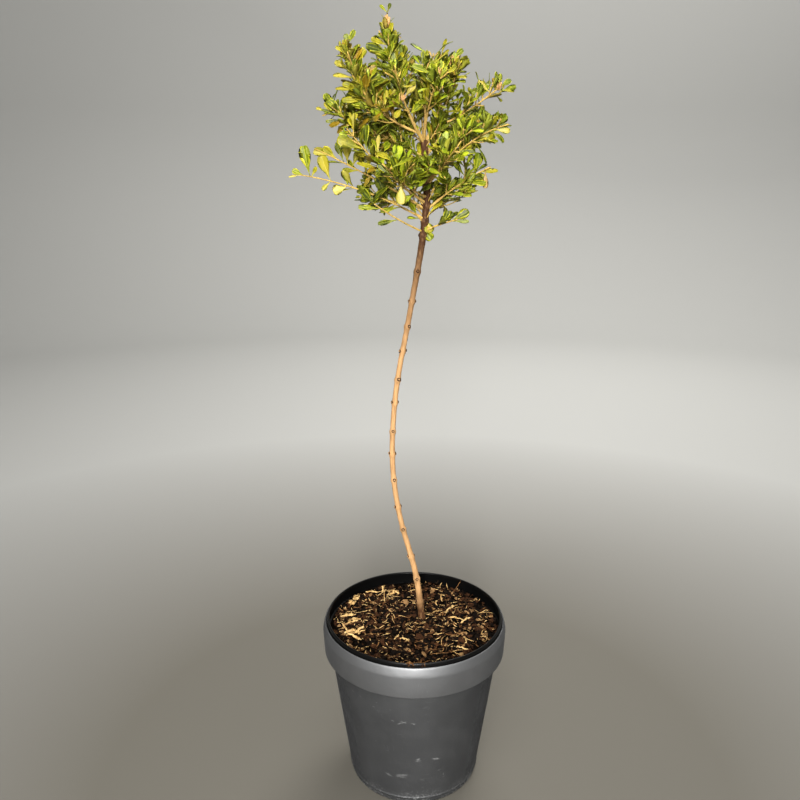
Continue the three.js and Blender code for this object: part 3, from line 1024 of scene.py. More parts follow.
def addTube(heap, path, radii, sides, relief=0.0, reliefScale=1500.0):
    # a closed tube along a path, with its rings square to the path and bark relief pressed into it
    count = len(path)
    points = [path[0]]
    side = None
    for i, place in enumerate(path):
        along = (path[min(i + 1, count - 1)] - path[max(i - 1, 0)]).normalized()
        side = crossTo(along, side if side is not None else Vector((0.31, 0.95, 0.08)))
        other = along.cross(side)
        for k in range(sides):
            turn = 2 * math.pi * k / sides
            out = side * math.cos(turn) + other * math.sin(turn)
            spot = place + out * radii[i]
            if relief:
                ridges = relief * noise.noise(Vector((spot.x, spot.y, spot.z * 0.12)) * reliefScale)
                spot = spot + out * (ridges + 0.5 * relief * noise.noise(spot * reliefScale))
            points.append(spot)
    points.append(path[-1])
    last = len(points) - 1
    faces = [(0, 1 + (k + 1) % sides, 1 + k) for k in range(sides)]
    for i in range(count - 1):
        low = 1 + i * sides
        high = low + sides
        faces += [(low + k, low + (k + 1) % sides, high + (k + 1) % sides, high + k) for k in range(sides)]
    faces += [(last, last - sides + k, last - sides + (k + 1) % sides) for k in range(sides)]
    heapAdd(heap, points, faces, 0)


def stemNodes(rng):
    # heights of the stem's nodes in millimetres, closer together near its head
    p = stemWood
    nodes, level = [], p["nodeFrom"]
    while level < stemRings[-1].z / mm - 12:
        nodes.append(level)
        closer = 1 if level < p["closerAbove"] else p["closerGap"]
        level += p["nodeGap"] * rng.uniform(0.8, 1.2) * closer
    return nodes


def addScars(barkHeap, scarHeap, node, turn, rng):
    # two dark scars that face away from each other at a node, each with a bark knob in its middle
    p = stemWood
    for side in (0, math.pi):
        out = Vector((math.cos(turn + side), math.sin(turn + side), 0))
        rise = rng.uniform(0.4, 1.4)
        radius = (stemRadius(node) + p["nodeSwell"]) * mm
        base = stemAt(node + rise) + out * (radius - 0.7 * mm)
        wide = rng.uniform(*p["scarRadius"]) * mm
        rim = base + out * p["scarProud"] * mm + up * 0.15 * mm
        addTube(scarHeap, [base, base.lerp(rim, 0.7), rim], [wide, wide, wide * 0.72], 9, 0.12 * mm)
        knob = rim + out * 0.35 * mm + up * 0.2 * mm
        addTube(barkHeap, [base, rim, knob], [wide * 0.5, wide * 0.52, wide * 0.25], 7)


def buildStem():
    p = stemWood
    rng = random.Random(p["seed"])
    nodes = stemNodes(rng)
    path, radii = [], []
    for height in np.arange(stemRings[0].z / mm, stemRings[-1].z / mm, p["stepLength"]):
        swell = sum(math.exp(-((height - node) / p["nodeSpan"]) ** 2) for node in nodes)
        path.append(stemAt(height))
        radii.append((stemRadius(height) + p["nodeSwell"] * swell) * mm)
    barkHeap, scarHeap = newHeap(), newHeap()
    addTube(barkHeap, path, radii, p["sides"], 0.16 * mm, 1100.0)
    for order, node in enumerate(nodes):
        turn = math.radians(200 + 90 * (order % 2) + rng.uniform(-20, 20))
        addScars(barkHeap, scarHeap, node, turn, rng)
    return barkHeap, scarHeap


# young colour, tone of streaks and patches, dark colour for painted shade and a darker foot, and relief in
# millimetres
barks = {
    "stemBarkFinish": ((168, 130, 88), (126, 94, 60), (58, 34, 15), 0.6),
    "scarFinish": ((60, 40, 26), (34, 22, 14), (34, 22, 14), 0.5),
    "boughFinish": ((184, 152, 84), (126, 98, 50), (126, 98, 50), 0.5),
    "twigFinish": ((178, 148, 76), (120, 96, 42), (120, 96, 42), 0.4),
    "tipFinish": ((190, 148, 98), (148, 108, 62), (148, 108, 62), 0.3),
}


def newBark(name, head=(900, 1000), foot=(0, -10)):
    # bark that turns to its dark colour between two heights in millimetres, painted shade on the stem's head
    # in the crown, and between two more at its foot, where it grows darker; the usual heights lie above and
    # below the plant
    *tones, relief = barks[name]
    colours = {key: paint(*tone) for key, tone in zip(("Young", "Shade", "Old"), tones)}
    finish = newFinish(name, "bark", colours, 0.7, relief * mm, 0.72, Specular_IOR_Level=0.16)
    tree = finish.node_tree
    m = NodeMaker(tree)
    grain = next(node for node in tree.nodes if node.type == "GROUP")
    where = next(node for node in tree.nodes if node.type == "TEX_COORD")
    split = m.add("SeparateXYZ")
    m.join(where.outputs["Object"], split.inputs["Vector"])
    shadeAndFootSpans = [m.spread(split.outputs["Z"], low * mm, high * mm) for low, high in (head, foot)]
    m.join(m.maths("MAXIMUM", *shadeAndFootSpans), grain.inputs["Age"])
    return finish


stemHeap, scarHeap = buildStem()
# painted shade on the stem's head in the crown, from 400 to 500 mm up; darker towards its foot below 182 mm
stemPiece = heapPiece("stemBark", stemHeap, [newBark("stemBarkFinish", (400, 500), (182, 158))])
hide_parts("stem")
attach(stemPiece, "root")
scarPiece = heapPiece("stemNodeScars", scarHeap, [newBark("scarFinish")])
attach(scarPiece, "root")
print("stem made")


# limbs, as in the solids: height on the stem or place on a lower limb, tip, bow, share of the length that
# stays a bare bough, and radius, in millimetres
limbRows = (
    ("top", 579, (-23, 4, 675), (-9, 0, 2), 0.42, 1.5),
    ("right_top", 577, (28, 8, 647), (3, 1, -2), 0.3, 2.2),
    ("front_top_left", 578, (-18, -32, 632), (-2, 0, -3), 0.42, 1.6),
    ("front_top_right", 579, (18, -33, 630), (-3, -2, 0), 0.42, 1.4),
    ("top_right", ("front_top_right", 0.2), (13, 0, 645), (-2, 0, 0), 0.3, 1.1),
    ("left_top", ("front_top_left", 0.16), (-53, -23, 650), (-12, -3, -8), 0.34, 1.1),
    ("right_high", ("right_top", 0.18), (74, 20, 628), (0, 0, -4), 0.26, 1.2),
    ("left_back", 566, (-82, 22, 606), (0, 2, 3), 0.24, 1.3),
    ("left_mid", 526, (-83, -14, 574), (0, 0, 2), 0.34, 1.2),
    ("left_low", 518, (-100, -19, 554), (0, -5, 6), 0.2, 1.3),
    ("front_left", 531, (-55, -36, 588), (0, -2, -5), 0.3, 1.3),
    ("right_front", 545, (72, -26, 590), (0, -2, 9), 0.36, 1.3),
    ("right_side", 571, (70, 30, 598), (0, 0, 3), 0.28, 1.4),
    ("right_low", 525, (60, -9, 560), (0, 0, 3), 0.3, 1.2),
    ("right_lowest", 509, (43, -8, 521), (0, 0, 1), 0.2, 1.0),
    ("front_low_left", 536, (-26, -50, 560), (0, 0, -3), 0.34, 1.1),
    ("front_low_right", 549, (28, -55, 572), (0, 0, -2), 0.34, 1.1),
    ("back_top", 576, (2, 50, 642), (0, 4, -3), 0.28, 1.5),
    ("back_left", 562, (-50, 66, 602), (0, 0, -2), 0.26, 1.4),
    ("back_right", 558, (46, 70, 592), (0, 0, 2), 0.26, 1.4),
    ("back_low", 540, (-8, 77, 556), (0, 0, 4), 0.28, 1.3),
    ("back_left_low", 526, (-52, 42, 536), (0, 0, 2), 0.28, 1.2),
    ("back_right_low", 520, (38, 50, 536), (0, 0, 2), 0.28, 1.2),
)


def evenPath(start, bend, tip, steps=240):
    # a quadratic curve's points at even spacing
    raw = []
    for i in range(steps + 1):
        t = i / steps
        raw.append(np.array(start * (1 - t) ** 2 + bend * (2 * t * (1 - t)) + tip * t * t))
    raw = np.array(raw)
    run = np.concatenate([[0], np.cumsum(np.linalg.norm(np.diff(raw, axis=0), axis=1))])
    even = np.linspace(0, run[-1], steps + 1)
    columns = [np.interp(even, run, raw[:, k]) for k in range(3)]
    return [Vector(row) for row in np.stack(columns, 1)], run[-1]


def along(line, share):
    # place and heading at a share of an even path
    path = line["path"]
    at = min(max(share, 0.0), 1.0) * (len(path) - 1)
    i = min(int(at), len(path) - 2)
    place = path[i].lerp(path[i + 1], at - i)
    heading = (path[min(i + 3, len(path) - 1)] - path[max(i - 2, 0)]).normalized()
    return place, heading


limbs = {}
for name, root, tip, bow, bare, radius in limbRows:
    if isinstance(root, tuple):
        start = along(limbs[root[0]], root[1])[0]
    else:
        start = stemAt(root)
    end = inMetres(tip)
    bend = start.lerp(end, 0.5) + inMetres(bow) * 2
    path, length = evenPath(start, bend, end)
    limbs[name] = {"path": path, "length": length, "bare": bare, "radius": radius * mm}


# the crown's outline: how far a place stands outside the nearest mass, in metres

masses = [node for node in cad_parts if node.startswith("foliage_")]
massTrees = []
for node in masses:
    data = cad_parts[node].data
    faces = [tuple(face.vertices) for face in data.polygons]
    tree = BVHTree.FromPolygons([vertex.co.copy() for vertex in data.vertices], faces)
    massTrees.append((tree, *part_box(node)))


def outside(place):
    margin = 12 * mm
    least = 1.0
    for tree, low, high in massTrees:
        if any(place[k] < low[k] - margin or place[k] > high[k] + margin for k in range(3)):
            continue
        spot, normal, _, distance = tree.find_nearest(place)
        signed = distance if (place - spot).dot(normal) > 0 else -distance
        least = min(least, signed)
    return least


# leaves: a spoon-shaped blade on a short stalk, with an irregular margin, a raised rib and a paler back

leafShape = {
    "stations": (0.0, 0.22, 0.42, 0.6, 0.76, 0.89, 0.97),
    "widest": 0.68,
    "stalkShare": 0.14,
    "stalkHalf": 0.4 * mm,
    "thickness": 0.4 * mm,
    "ribHalf": 0.32 * mm,
    "ribLift": 0.16 * mm,
}


def bladeHalf(share, point):
    # half width at a share of the blade's length, as a share of the fullest
    widest = leafShape["widest"]
    if share < widest:
        return 0.07 + 0.93 * math.sin(math.pi / 2 * share / widest) ** 1.9
    return max(0.0, 1 - ((share - widest) / (1.03 - widest)) ** 2) ** point


def leafRow(place, cross, rise, half, share, form, rng):
    # one row across the blade: edge, margin, rib, rib, margin, edge, and the underside
    s = leafShape
    rib = min(s["ribHalf"] * (1.15 - share * 0.7), half * 0.4)
    row = []
    for sign, columns in ((-1, ("edge", "margin", "rib")), (1, ("rib", "margin", "edge"))):
        for column in columns:
            if column == "rib":
                across, high = rib, s["ribLift"] * (1 - 0.6 * share)
            elif column == "margin":
                across = half * min(0.93, max(0.35, form["margin"] + rng.uniform(-0.14, 0.14)))
                high = form["fold"] * across * 0.8 + 0.12 * mm * math.sin(math.pi * share)
            else:
                across = half * (1 + rng.uniform(-0.03, 0.03))
                high = form["fold"] * half + form["wave"] * half * math.sin(7 * share + sign)
            row.append(place + cross * (sign * across) + rise * high)
    row.append(place - rise * (s["thickness"] * (0.5 + 0.5 * math.sin(math.pi * min(1, share + 0.2)))))
    return row


def leafFaces():
    # slots: 0 blade, 1 margin, 2 rib and stalk, 3 back
    faces, slots = [(0, 1, 2), (3, 4, 5, 6, 7, 8, 1, 0), (8, 9, 2, 1), (9, 3, 0, 2)], [2, 2, 2, 2]
    for i in range(len(leafShape["stations"]) - 1):
        low, high = 3 + 7 * i, 10 + 7 * i
        for k, slot in enumerate((1, 0, 2, 0, 1)):
            faces.append((low + k, high + k, high + k + 1, low + k + 1))
            slots.append(slot)
        faces += [(low + 5, high + 5, high + 6, low + 6), (low + 6, high + 6, high, low)]
        slots += [3, 3]
    end = 3 + 7 * (len(leafShape["stations"]) - 1)
    faces.append(tuple(end + k for k in reversed(range(7))))
    slots.append(1)
    return faces, slots


leafPattern = leafFaces()


def addLeaf(heap, base, direction, facing, length, width, bend, fold, twist, rng):
    s = leafShape
    ax, ay, az = turnTo(direction, facing)
    stalk = length * s["stalkShare"]
    blade = length - stalk
    form = {"margin": rng.uniform(0.5, 0.8), "wave": rng.uniform(-0.12, 0.12), "fold": fold}
    point = rng.uniform(0.45, 0.85)
    points = []
    for k in range(3):
        angle = 2 * math.pi * k / 3
        points.append(base + (ay * math.cos(angle) + az * math.sin(angle)) * s["stalkHalf"])
    place = base
    for i, share in enumerate(s["stations"]):
        step = stalk if i == 0 else (share - s["stations"][i - 1]) * blade
        angle = bend * ((stalk + share * blade) / length - 0.35)
        heading = ax * math.cos(angle) + az * math.sin(angle)
        place = place + heading * step
        rise = az * math.cos(angle) - ax * math.sin(angle)
        roll = twist * share
        cross = ay * math.cos(roll) + rise * math.sin(roll)
        rise = rise * math.cos(roll) - ay * math.sin(roll)
        half = max(bladeHalf(share, point) * width / 2, s["stalkHalf"])
        points += leafRow(place, cross, rise, half, share, form, rng)
    heapAdd(heap, points, leafPattern[0], leafPattern[1])


# blade, margin, rib and back of each kind of leaf
leafKinds = {
    "Deep": ((56, 66, 2), (140, 138, 24), (114, 118, 34), (94, 102, 26)),
    "Green": ((92, 102, 3), (154, 150, 30), (140, 140, 42), (110, 115, 28)),
    "Lime": ((138, 148, 24), (74, 84, 4), (158, 156, 52), (120, 126, 34)),
    "Olive": ((124, 116, 12), (156, 146, 30), (150, 142, 46), (122, 122, 34)),
    "Gold": ((142, 130, 34), (120, 120, 28), (162, 150, 62), (134, 126, 46)),
    "Straw": ((164, 148, 70), (146, 136, 50), (180, 166, 92), (152, 140, 70)),
    "Bronze": ((114, 90, 12), (142, 116, 28), (142, 116, 44), (116, 98, 36)),
    "Dry": ((150, 124, 76), (108, 82, 44), (136, 110, 64), (124, 100, 58)),
}
leafHeaps = {kind: newHeap() for kind in leafKinds}
leafCount = {"made": 0, "dropped": 0}

# how often each kind of leaf is dealt out, by part of the crown
mixes = {
    "crest": {"Deep": 3.5, "Green": 6, "Lime": 4, "Olive": 5, "Gold": 2.4, "Bronze": 1.4, "Straw": 0.6},
    "bronze": {"Deep": 2.5, "Green": 4, "Lime": 2, "Olive": 6, "Gold": 3, "Bronze": 3, "Straw": 1},
    "left": {"Deep": 3, "Green": 4, "Lime": 2.5, "Olive": 5.5, "Gold": 3, "Bronze": 1.2, "Straw": 0.8},
    "right": {"Deep": 3.5, "Green": 6, "Lime": 5.5, "Olive": 3.5, "Gold": 2, "Bronze": 0.7, "Straw": 0.8},
    "shade": {"Deep": 4, "Green": 6, "Lime": 3, "Olive": 3, "Bronze": 1},
    "lower": {"Deep": 4.5, "Green": 5, "Lime": 6, "Olive": 2.4, "Gold": 1.3, "Bronze": 0.2, "Straw": 0.7},
}

# how a limb grows: leaf size as a share, gap between nodes in millimetres, chance and reach of side shoots,
# shares where leaves start and end and where the wood ends, leaves in the tip's tuft, and mix of leaves
plainHabit = {
    "size": 0.95,
    "gap": 7.5,
    "side": 0.75,
    "reach": (11, 24),
    "start": 0.2,
    "end": 1.0,
    "wood": 0.97,
    "tuft": 4,
    "mix": "crest",
}
habits = {
    "top": dict(size=0.9, gap=6.0, reach=(11, 21), start=0.16),
    "right_top": dict(size=0.9, gap=6.5, reach=(12, 25), start=0.3),
    "front_top_left": dict(size=0.85, gap=6.5, side=0.6, reach=(9, 18), start=0.42),
    "front_top_right": dict(size=0.85, gap=6.5, side=0.6, reach=(9, 18), start=0.42),
    "top_right": dict(size=0.85, gap=6.5, reach=(8, 16), start=0.2),
    "left_top": dict(
        size=0.98, gap=6.2, reach=(11, 19), start=0.2, end=0.9, wood=0.88, tuft=2, mix="bronze"
    ),
    "right_high": dict(
        size=0.88, gap=6.5, reach=(8, 15), start=0.25, end=0.78, wood=0.85, tuft=0, mix="shade"
    ),
    "left_back": dict(gap=7.0, reach=(13, 26), wood=0.8, mix="left"),
    "left_mid": dict(size=1.05, gap=12.0, side=0.12, reach=(7, 12), start=0.25, mix="left"),
    "left_low": dict(
        size=1.1, gap=13.0, side=0.05, reach=(6, 10), start=0.3, end=0.6, wood=0.93, tuft=0, mix="left"
    ),
    "front_left": dict(size=1.05, gap=8.5, side=0.55, reach=(9, 18), start=0.25, mix="left"),
    "right_front": dict(size=1.0, gap=8.0, side=0.6, reach=(9, 19), start=0.3, mix="right"),
    "right_side": dict(gap=7.0, reach=(11, 22), mix="right"),
    "right_low": dict(size=1.0, gap=8.5, side=0.5, reach=(8, 17), start=0.3, mix="right"),
    "right_lowest": dict(
        size=1.05, gap=9.0, side=0.3, reach=(6, 12), start=0.25, end=0.5, wood=0.74, tuft=0, mix="lower"
    ),
    "front_low_left": dict(size=1.05, gap=8.0, side=0.6, reach=(9, 18), start=0.15, mix="lower"),
    "front_low_right": dict(size=1.0, gap=8.0, side=0.6, reach=(9, 18), start=0.15, mix="lower"),
    "back_left": dict(mix="left"),
    "back_right": dict(mix="right"),
    "back_low": dict(mix="lower"),
    "back_left_low": dict(mix="lower"),
    "back_right_low": dict(mix="lower"),
}

# the crown as a whole, in millimetres: its heart is filled even between the masses
growth = {
    "seed": 23,
    "tipGap": 3.4,
    "mayStandOut": 1.5,
    "coreCentre": (0, 6, 588),
    "coreReach": (66, 58, 58),
    "coreSlack": 11.0,
    "openReach": 2.6,
}

# how a leaf stands: millimetres, shares and degrees
leafStance = {
    "length": (13.5, 22.0),
    "widthShare": (0.31, 0.44),
    "spread": (36, 68),
    "tipSpread": (16, 40),
    "lift": (0.05, 0.4),
    "tries": 6,
    "turnIn": 0.72,
    "shrink": 0.86,
    "bend": (-14, 24),
    "fold": (0.05, 0.42),
    "twist": 20,
}

# how a side shoot grows: steps, node gaps and radius in millimetres, the rest as shares
sideShoot = {
    "step": 2.2,
    "sway": 0.05,
    "rise": 0.045,
    "follow": 0.02,
    "keepInside": 1.5,
    "firstNode": (3.0, 5.0),
    "nodeGap": (6.0, 3.4),
    "tipRadius": 0.42,
    "swell": 0.3,
    "pairChance": 0.92,
    "branchFrom": 15,
    "branches": (0.35, 0.6),
    "branchLength": (6, 11),
}

# windows that the leaves leave open between two limbs: the limbs, share along both, radius in millimetres
windows = (
    ("left_low", "left_mid", 0.6, 5.0),
    ("left_low", "left_mid", 0.45, 4.5),
    ("left_low", "left_mid", 0.85, 4.5),
    ("left_mid", "left_back", 0.85, 4.0),
    ("right_high", "right_side", 0.85, 6.5),
    ("right_top", "right_high", 0.8, 4.5),
    ("right_front", "right_low", 0.85, 6.5),
    ("right_front", "right_low", 0.4, 4.5),
    ("right_low", "right_lowest", 0.5, 4.5),
    ("front_low_left", "left_mid", 0.3, 4.0),
)

twigHeap = newHeap()
sheathHeap = newHeap()
woodPoints = []

# limbs that show from the front: the share of their length that leaves keep clear of
openLimbs = {
    "front_top_left": 0.62,
    "front_top_right": 0.6,
    "left_top": 0.4,
    "front_left": 0.45,
    "right_front": 0.7,
    "right_low": 0.6,
    "left_mid": 0.75,
}


def seenFromFront(place):
    # where the line of sight from the front meets the plane through the stem, in millimetres
    eye = Vector(viewPoint["place"])
    return eye.lerp(place, eye.y / (eye.y - place.y)) / mm


openSpots = []
for name, share in openLimbs.items():
    for i in range(30):
        spot = along(limbs[name], 0.05 + (share - 0.05) * i / 29)[0]
        openSpots.append((seenFromFront(spot), spot.y))


skyGaps = []
for first, second, share, radius in windows:
    ends = [seenFromFront(along(limbs[name], share)[0]) for name in (first, second)]
    skyGaps.append((ends[0].lerp(ends[1], 0.5), radius))


def inSkyGap(place):
    seen = seenFromFront(place)
    return any(math.hypot(seen.x - gap.x, seen.z - gap.z) < radius for gap, radius in skyGaps)


def hidesLimb(place):
    seen = seenFromFront(place)
    for spot, depth in openSpots:
        if place.y < depth and math.hypot(seen.x - spot.x, seen.z - spot.z) < growth["openReach"]:
            return True
    return False


def standsOut(place):
    # how far outside the crown's outline a place is; the crown's heart is filled between its masses
    stand = outside(place)
    core = sum(((place[k] / mm - growth["coreCentre"][k]) / growth["coreReach"][k]) ** 2 for k in range(3))
    return stand - growth["coreSlack"] * mm if core < 1 else stand


def placeLeaf(base, heading, out, size, kinds, rng, spreadDegrees=None):
    # tries to keep the leaf inside the crown's outline: it turns in, then shrinks, then gives up
    s = leafStance
    length = rng.uniform(*s["length"]) * size * mm
    spread = math.radians(rng.uniform(*s["spread"]) if spreadDegrees is None else spreadDegrees)
    lift = rng.uniform(*s["lift"])
    for attempt in range(s["tries"]):
        direction = heading * math.cos(spread) + out * math.sin(spread)
        direction = (direction + up * lift).normalized()
        tip = base + direction * length
        middle = base.lerp(tip, 0.6)
        clear = not (inSkyGap(tip) or inSkyGap(middle) or hidesLimb(tip) or hidesLimb(middle))
        if clear and standsOut(tip) < growth["mayStandOut"] * mm:
            break
        if attempt % 2:
            length *= s["shrink"]
        else:
            spread *= s["turnIn"]
    else:
        leafCount["dropped"] += 1
        return
    facing = heading * 0.9 + up * 0.7 + Vector((rng.gauss(0, 0.4), rng.gauss(-0.3, 0.4), rng.gauss(0, 0.3)))
    width = length * rng.uniform(*s["widthShare"])
    bend = math.radians(rng.gauss(*s["bend"]))
    fold = rng.uniform(*s["fold"])
    twist = math.radians(rng.gauss(0, s["twist"]))
    addLeaf(leafHeaps[rng.choice(kinds)], base, direction, facing, length, width, bend, fold, twist, rng)
    leafCount["made"] += 1


def addSheath(base, heading, size, rng):
    # a young tip: narrow papery scales that part at their points
    for _ in range(rng.choice((3, 4, 5))):
        side = crossTo(heading, randomWay(rng))
        length = size * rng.uniform(0.6, 1.15)
        foot = base - heading * size * 0.3 * rng.random()
        tip = foot + heading * length + side * (length * rng.uniform(0.2, 0.5))
        middle = foot.lerp(tip, 0.5) + side * (length * 0.06)
        addTube(sheathHeap, [foot, middle, tip], [size * 0.12, size * 0.15, size * 0.03], 5)


def swollenRadii(path, nodes, first, last, swell):
    # a tapering radius with a swelling at each node
    nodeSpan = 0.9 * mm
    radii, run = [], 0.0
    total = sum((b - a).length for a, b in zip(path, path[1:]))
    for i, place in enumerate(path):
        run += (place - path[i - 1]).length if i else 0.0
        bulge = sum(math.exp(-((run - node) / nodeSpan) ** 2) for node in nodes)
        radii.append(lerp(first, last, run / total) * (1 + swell * min(bulge, 1)))
    return radii


def leafPairs(path, nodes, reach, size, kinds, rng):
    # a pair of leaves at each node of a shoot, each pair square to the last, smaller towards the tip
    turn = rng.uniform(0, math.pi)
    for order, run in enumerate(nodes):
        at = min(run / reach * (len(path) - 1), len(path) - 1.001)
        i = int(at)
        place = path[i].lerp(path[i + 1], at - i)
        ahead = (path[i + 1] - path[i]).normalized()
        side = crossTo(ahead, Vector((math.cos(turn), math.sin(turn), 0.3)))
        pair = side if order % 2 else ahead.cross(side)
        last = order == len(nodes) - 1
        share = order / max(1, len(nodes) - 1)
        for sign in (-1, 1):
            if last or rng.random() < sideShoot["pairChance"]:
                grown = size * lerp(1.02, 0.6, share ** 1.5) * rng.uniform(0.78, 1.1)
                spread = rng.uniform(*leafStance["tipSpread"]) if last else None
                placeLeaf(place, ahead, pair * sign, grown, kinds, rng, spread)
    return ahead


def sideShootPath(base, heading, out, length, rng):
    # curves upwards and stops short of the crown's outline and of its windows
    s = sideShoot
    direction = (heading * 0.62 + out * 0.78 + up * 0.18).normalized()
    steps = max(4, int(length / (s["step"] * mm)))
    path = [base]
    for _ in range(steps):
        sway = randomWay(rng, *[s["sway"]] * 3)
        direction = (direction + up * s["rise"] + heading * s["follow"] + sway).normalized()
        path.append(path[-1] + direction * (length / steps))
    while len(path) > 3 and (standsOut(path[-1]) > -s["keepInside"] * mm or inSkyGap(path[-1])):
        path.pop()
    return path, (len(path) - 1) * length / steps


def growSideShoot(base, heading, out, length, radius, size, kinds, rng, branching=True):
    # a short shoot with a pair of leaves at each node; a long one branches again
    s = sideShoot
    path, reach = sideShootPath(base, heading, out, length, rng)
    if len(path) <= 3:
        return
    nodes, run = [], rng.uniform(*s["firstNode"]) * mm
    while run < reach - 1.2 * mm:
        nodes.append(run)
        run += lerp(*s["nodeGap"], run / reach) * mm * rng.uniform(0.85, 1.15)
    nodes.append(reach)
    radii = swollenRadii(path, nodes, radius, s["tipRadius"] * mm, s["swell"])
    addTube(twigHeap, path, radii, 6, 0.04 * mm)
    woodPoints.extend(path)
    ahead = leafPairs(path, nodes, reach, size, kinds, rng)
    if branching and reach > s["branchFrom"] * mm:
        for share in s["branches"]:
            start = path[int(share * (len(path) - 1))]
            side = crossTo(ahead, randomWay(rng))
            branch = rng.uniform(*s["branchLength"]) * mm
            growSideShoot(start, ahead, side, branch, radius * 0.8, size * 0.85, kinds, rng, False)


def growLimb(name, limb, rng):
    # a limb's leafy part: an axis with paired leaves and side shoots, and a tuft at its tip
    habit = {**plainHabit, **habits.get(name, {})}
    mix = mixes[habit["mix"]]
    length = limb["length"]
    start = habit["start"] * length
    nodes, run = [], start + 2.0 * mm
    while run < habit["end"] * length - 1.5 * mm:
        nodes.append(run)
        share = (run - start) / (length - start)
        run += lerp(habit["gap"], growth["tipGap"], ramp(share, 0.7, 1.0)) * mm * rng.uniform(0.85, 1.15)
    turn = rng.uniform(0, math.pi)
    for order, run in enumerate(nodes):
        place, heading = along(limb, run / length)
        share = (run - start) / (length - start)
        side = crossTo(heading, Vector((math.cos(turn), math.sin(turn), 0.5)))
        pair = side if order % 2 else heading.cross(side)
        pair = Matrix.Rotation(rng.gauss(0, 0.3), 3, heading) @ pair
        for out in (-pair, pair):
            kinds = rng.choices(list(mix), list(mix.values()), k=4)
            size = habit["size"] * lerp(1.05, 0.75, ramp(share, 0.55, 1.0)) * rng.uniform(0.82, 1.1)
            reach = rng.uniform(*habit["reach"]) * lerp(1.0, 0.45, ramp(share, 0.6, 1.0)) * mm
            if rng.random() < habit["side"] and share < 0.93:
                radius = rng.uniform(0.44, 0.6) * mm
                growSideShoot(place, heading, out, reach, radius, habit["size"], kinds, rng)
            if rng.random() < 0.85:
                placeLeaf(place, heading, out, size, kinds, rng)
    place, heading = along(limb, 1.0)
    kinds = rng.choices(list(mix), list(mix.values()), k=4)
    side = crossTo(heading, Vector((math.cos(turn), math.sin(turn), 0)))
    for out in (side, -side, heading.cross(side), -heading.cross(side))[: habit["tuft"]]:
        placeLeaf(place, heading, out, habit["size"] * rng.uniform(0.5, 0.8), kinds, rng, rng.uniform(14, 40))


boughWood = {"step": 1.6, "sides": 12, "tipRadius": 0.78, "knotSwell": 0.28, "knotSpan": 1.2}
twigWood = {"step": 1.8, "sides": 8, "tipRadius": 0.4, "wobble": 0.14}


def limbRadius(limb, share):
    # the bough's taper, and the twig's beyond it
    joint = boughWood["tipRadius"] * mm
    if share <= limb["bare"]:
        return lerp(limb["radius"], joint, (share / limb["bare"]) ** 0.7)
    return lerp(joint, twigWood["tipRadius"] * mm, (share - limb["bare"]) / (1 - limb["bare"]))


def limbTube(heap, limb, first, last, wood, fewest, relief, reliefScale, swell):
    # the wood between two shares of a limb; swell gives the radius its unevenness at a share and place
    count = max(fewest, int((last - first) * limb["length"] / (wood["step"] * mm)))
    shares = [lerp(first, last, i / count) for i in range(count + 1)]
    path = [along(limb, share)[0] for share in shares]
    radii = [limbRadius(limb, share) * swell(share, place) for share, place in zip(shares, path)]
    woodPoints.extend(path)
    addTube(heap, path, radii, wood["sides"], relief * mm, reliefScale)


def growWood(name, limb, rng):
    # a bare bough with two knots, and its leafy twig beyond
    bare = limb["bare"]
    knots = [rng.uniform(0.15, 0.5) * bare, rng.uniform(0.6, 0.95) * bare]

    def knotted(share, place):
        span = boughWood["knotSpan"] * mm
        bulge = sum(math.exp(-(((share - knot) * limb["length"]) / span) ** 2) for knot in knots)
        return 1 + boughWood["knotSwell"] * bulge

    def wobbly(share, place):
        return 1 + twigWood["wobble"] * noise.noise(place * 260)

    limbTube(boughHeap, limb, 0, bare, boughWood, 6, 0.1, 1300.0, knotted)
    end = {**plainHabit, **habits.get(name, {})}["wood"]
    limbTube(twigHeap, limb, bare, end, twigWood, 8, 0.06, 1500.0, wobbly)


boughHeap = newHeap()
for order, (name, limb) in enumerate(limbs.items()):
    rng = random.Random(growth["seed"] * 100 + order)
    growLimb(name, limb, rng)
    growWood(name, limb, rng)
print("limbs grown:", len(limbs))

# short leafy shoots straight from the stem's head: height, turn from the front in degrees, length
stemShoots = (
    *((516, -60, 15), (519, 30, 12), (521, -110, 16), (524, -30, 14), (527, 100, 14), (529, -70, 17)),
    *((532, 30, 14), (540, -45, 17), (543, -80, 18), (547, 15, 15), (549, 90, 18), (552, -35, 20)),
    *((557, 25, 18), (563, -75, 22), (566, 5, 17), (569, 70, 20), (573, -20, 22), (575, 40, 22)),
    *((577, 120, 20), (578, -120, 20), (545, 160, 18), (534, -10, 12), (538, 60, 14)),
)
rng = random.Random(growth["seed"] * 100 + 77)
for height, turn, length in stemShoots:
    out = Vector((math.sin(math.radians(turn)), -math.cos(math.radians(turn)), 0))
    mix = mixes["crest" if height > 550 else "lower"]
    kinds = rng.choices(list(mix), list(mix.values()), k=4)
    growSideShoot(stemAt(height) + out * 2 * mm, up, out, length * mm, 0.6 * mm, 0.9, kinds, rng)

# a thin low shoot that leaves the stem beneath the lowest left limb
lowShoot = {"height": 508, "tip": (-34, -14, 531), "sag": 3.0, "radius": 0.85}
start, end = stemAt(lowShoot["height"]), inMetres(lowShoot["tip"])
path, length = evenPath(start, start.lerp(end, 0.5) - up * lowShoot["sag"] * mm, end, 24)
limbs["low_shoot"] = {"path": path, "length": length}
radii = swollenRadii(path, [], lowShoot["radius"] * mm, 0.5 * mm, 0)
addTube(twigHeap, path, radii, 8, 0.04 * mm)
woodPoints.extend(path)

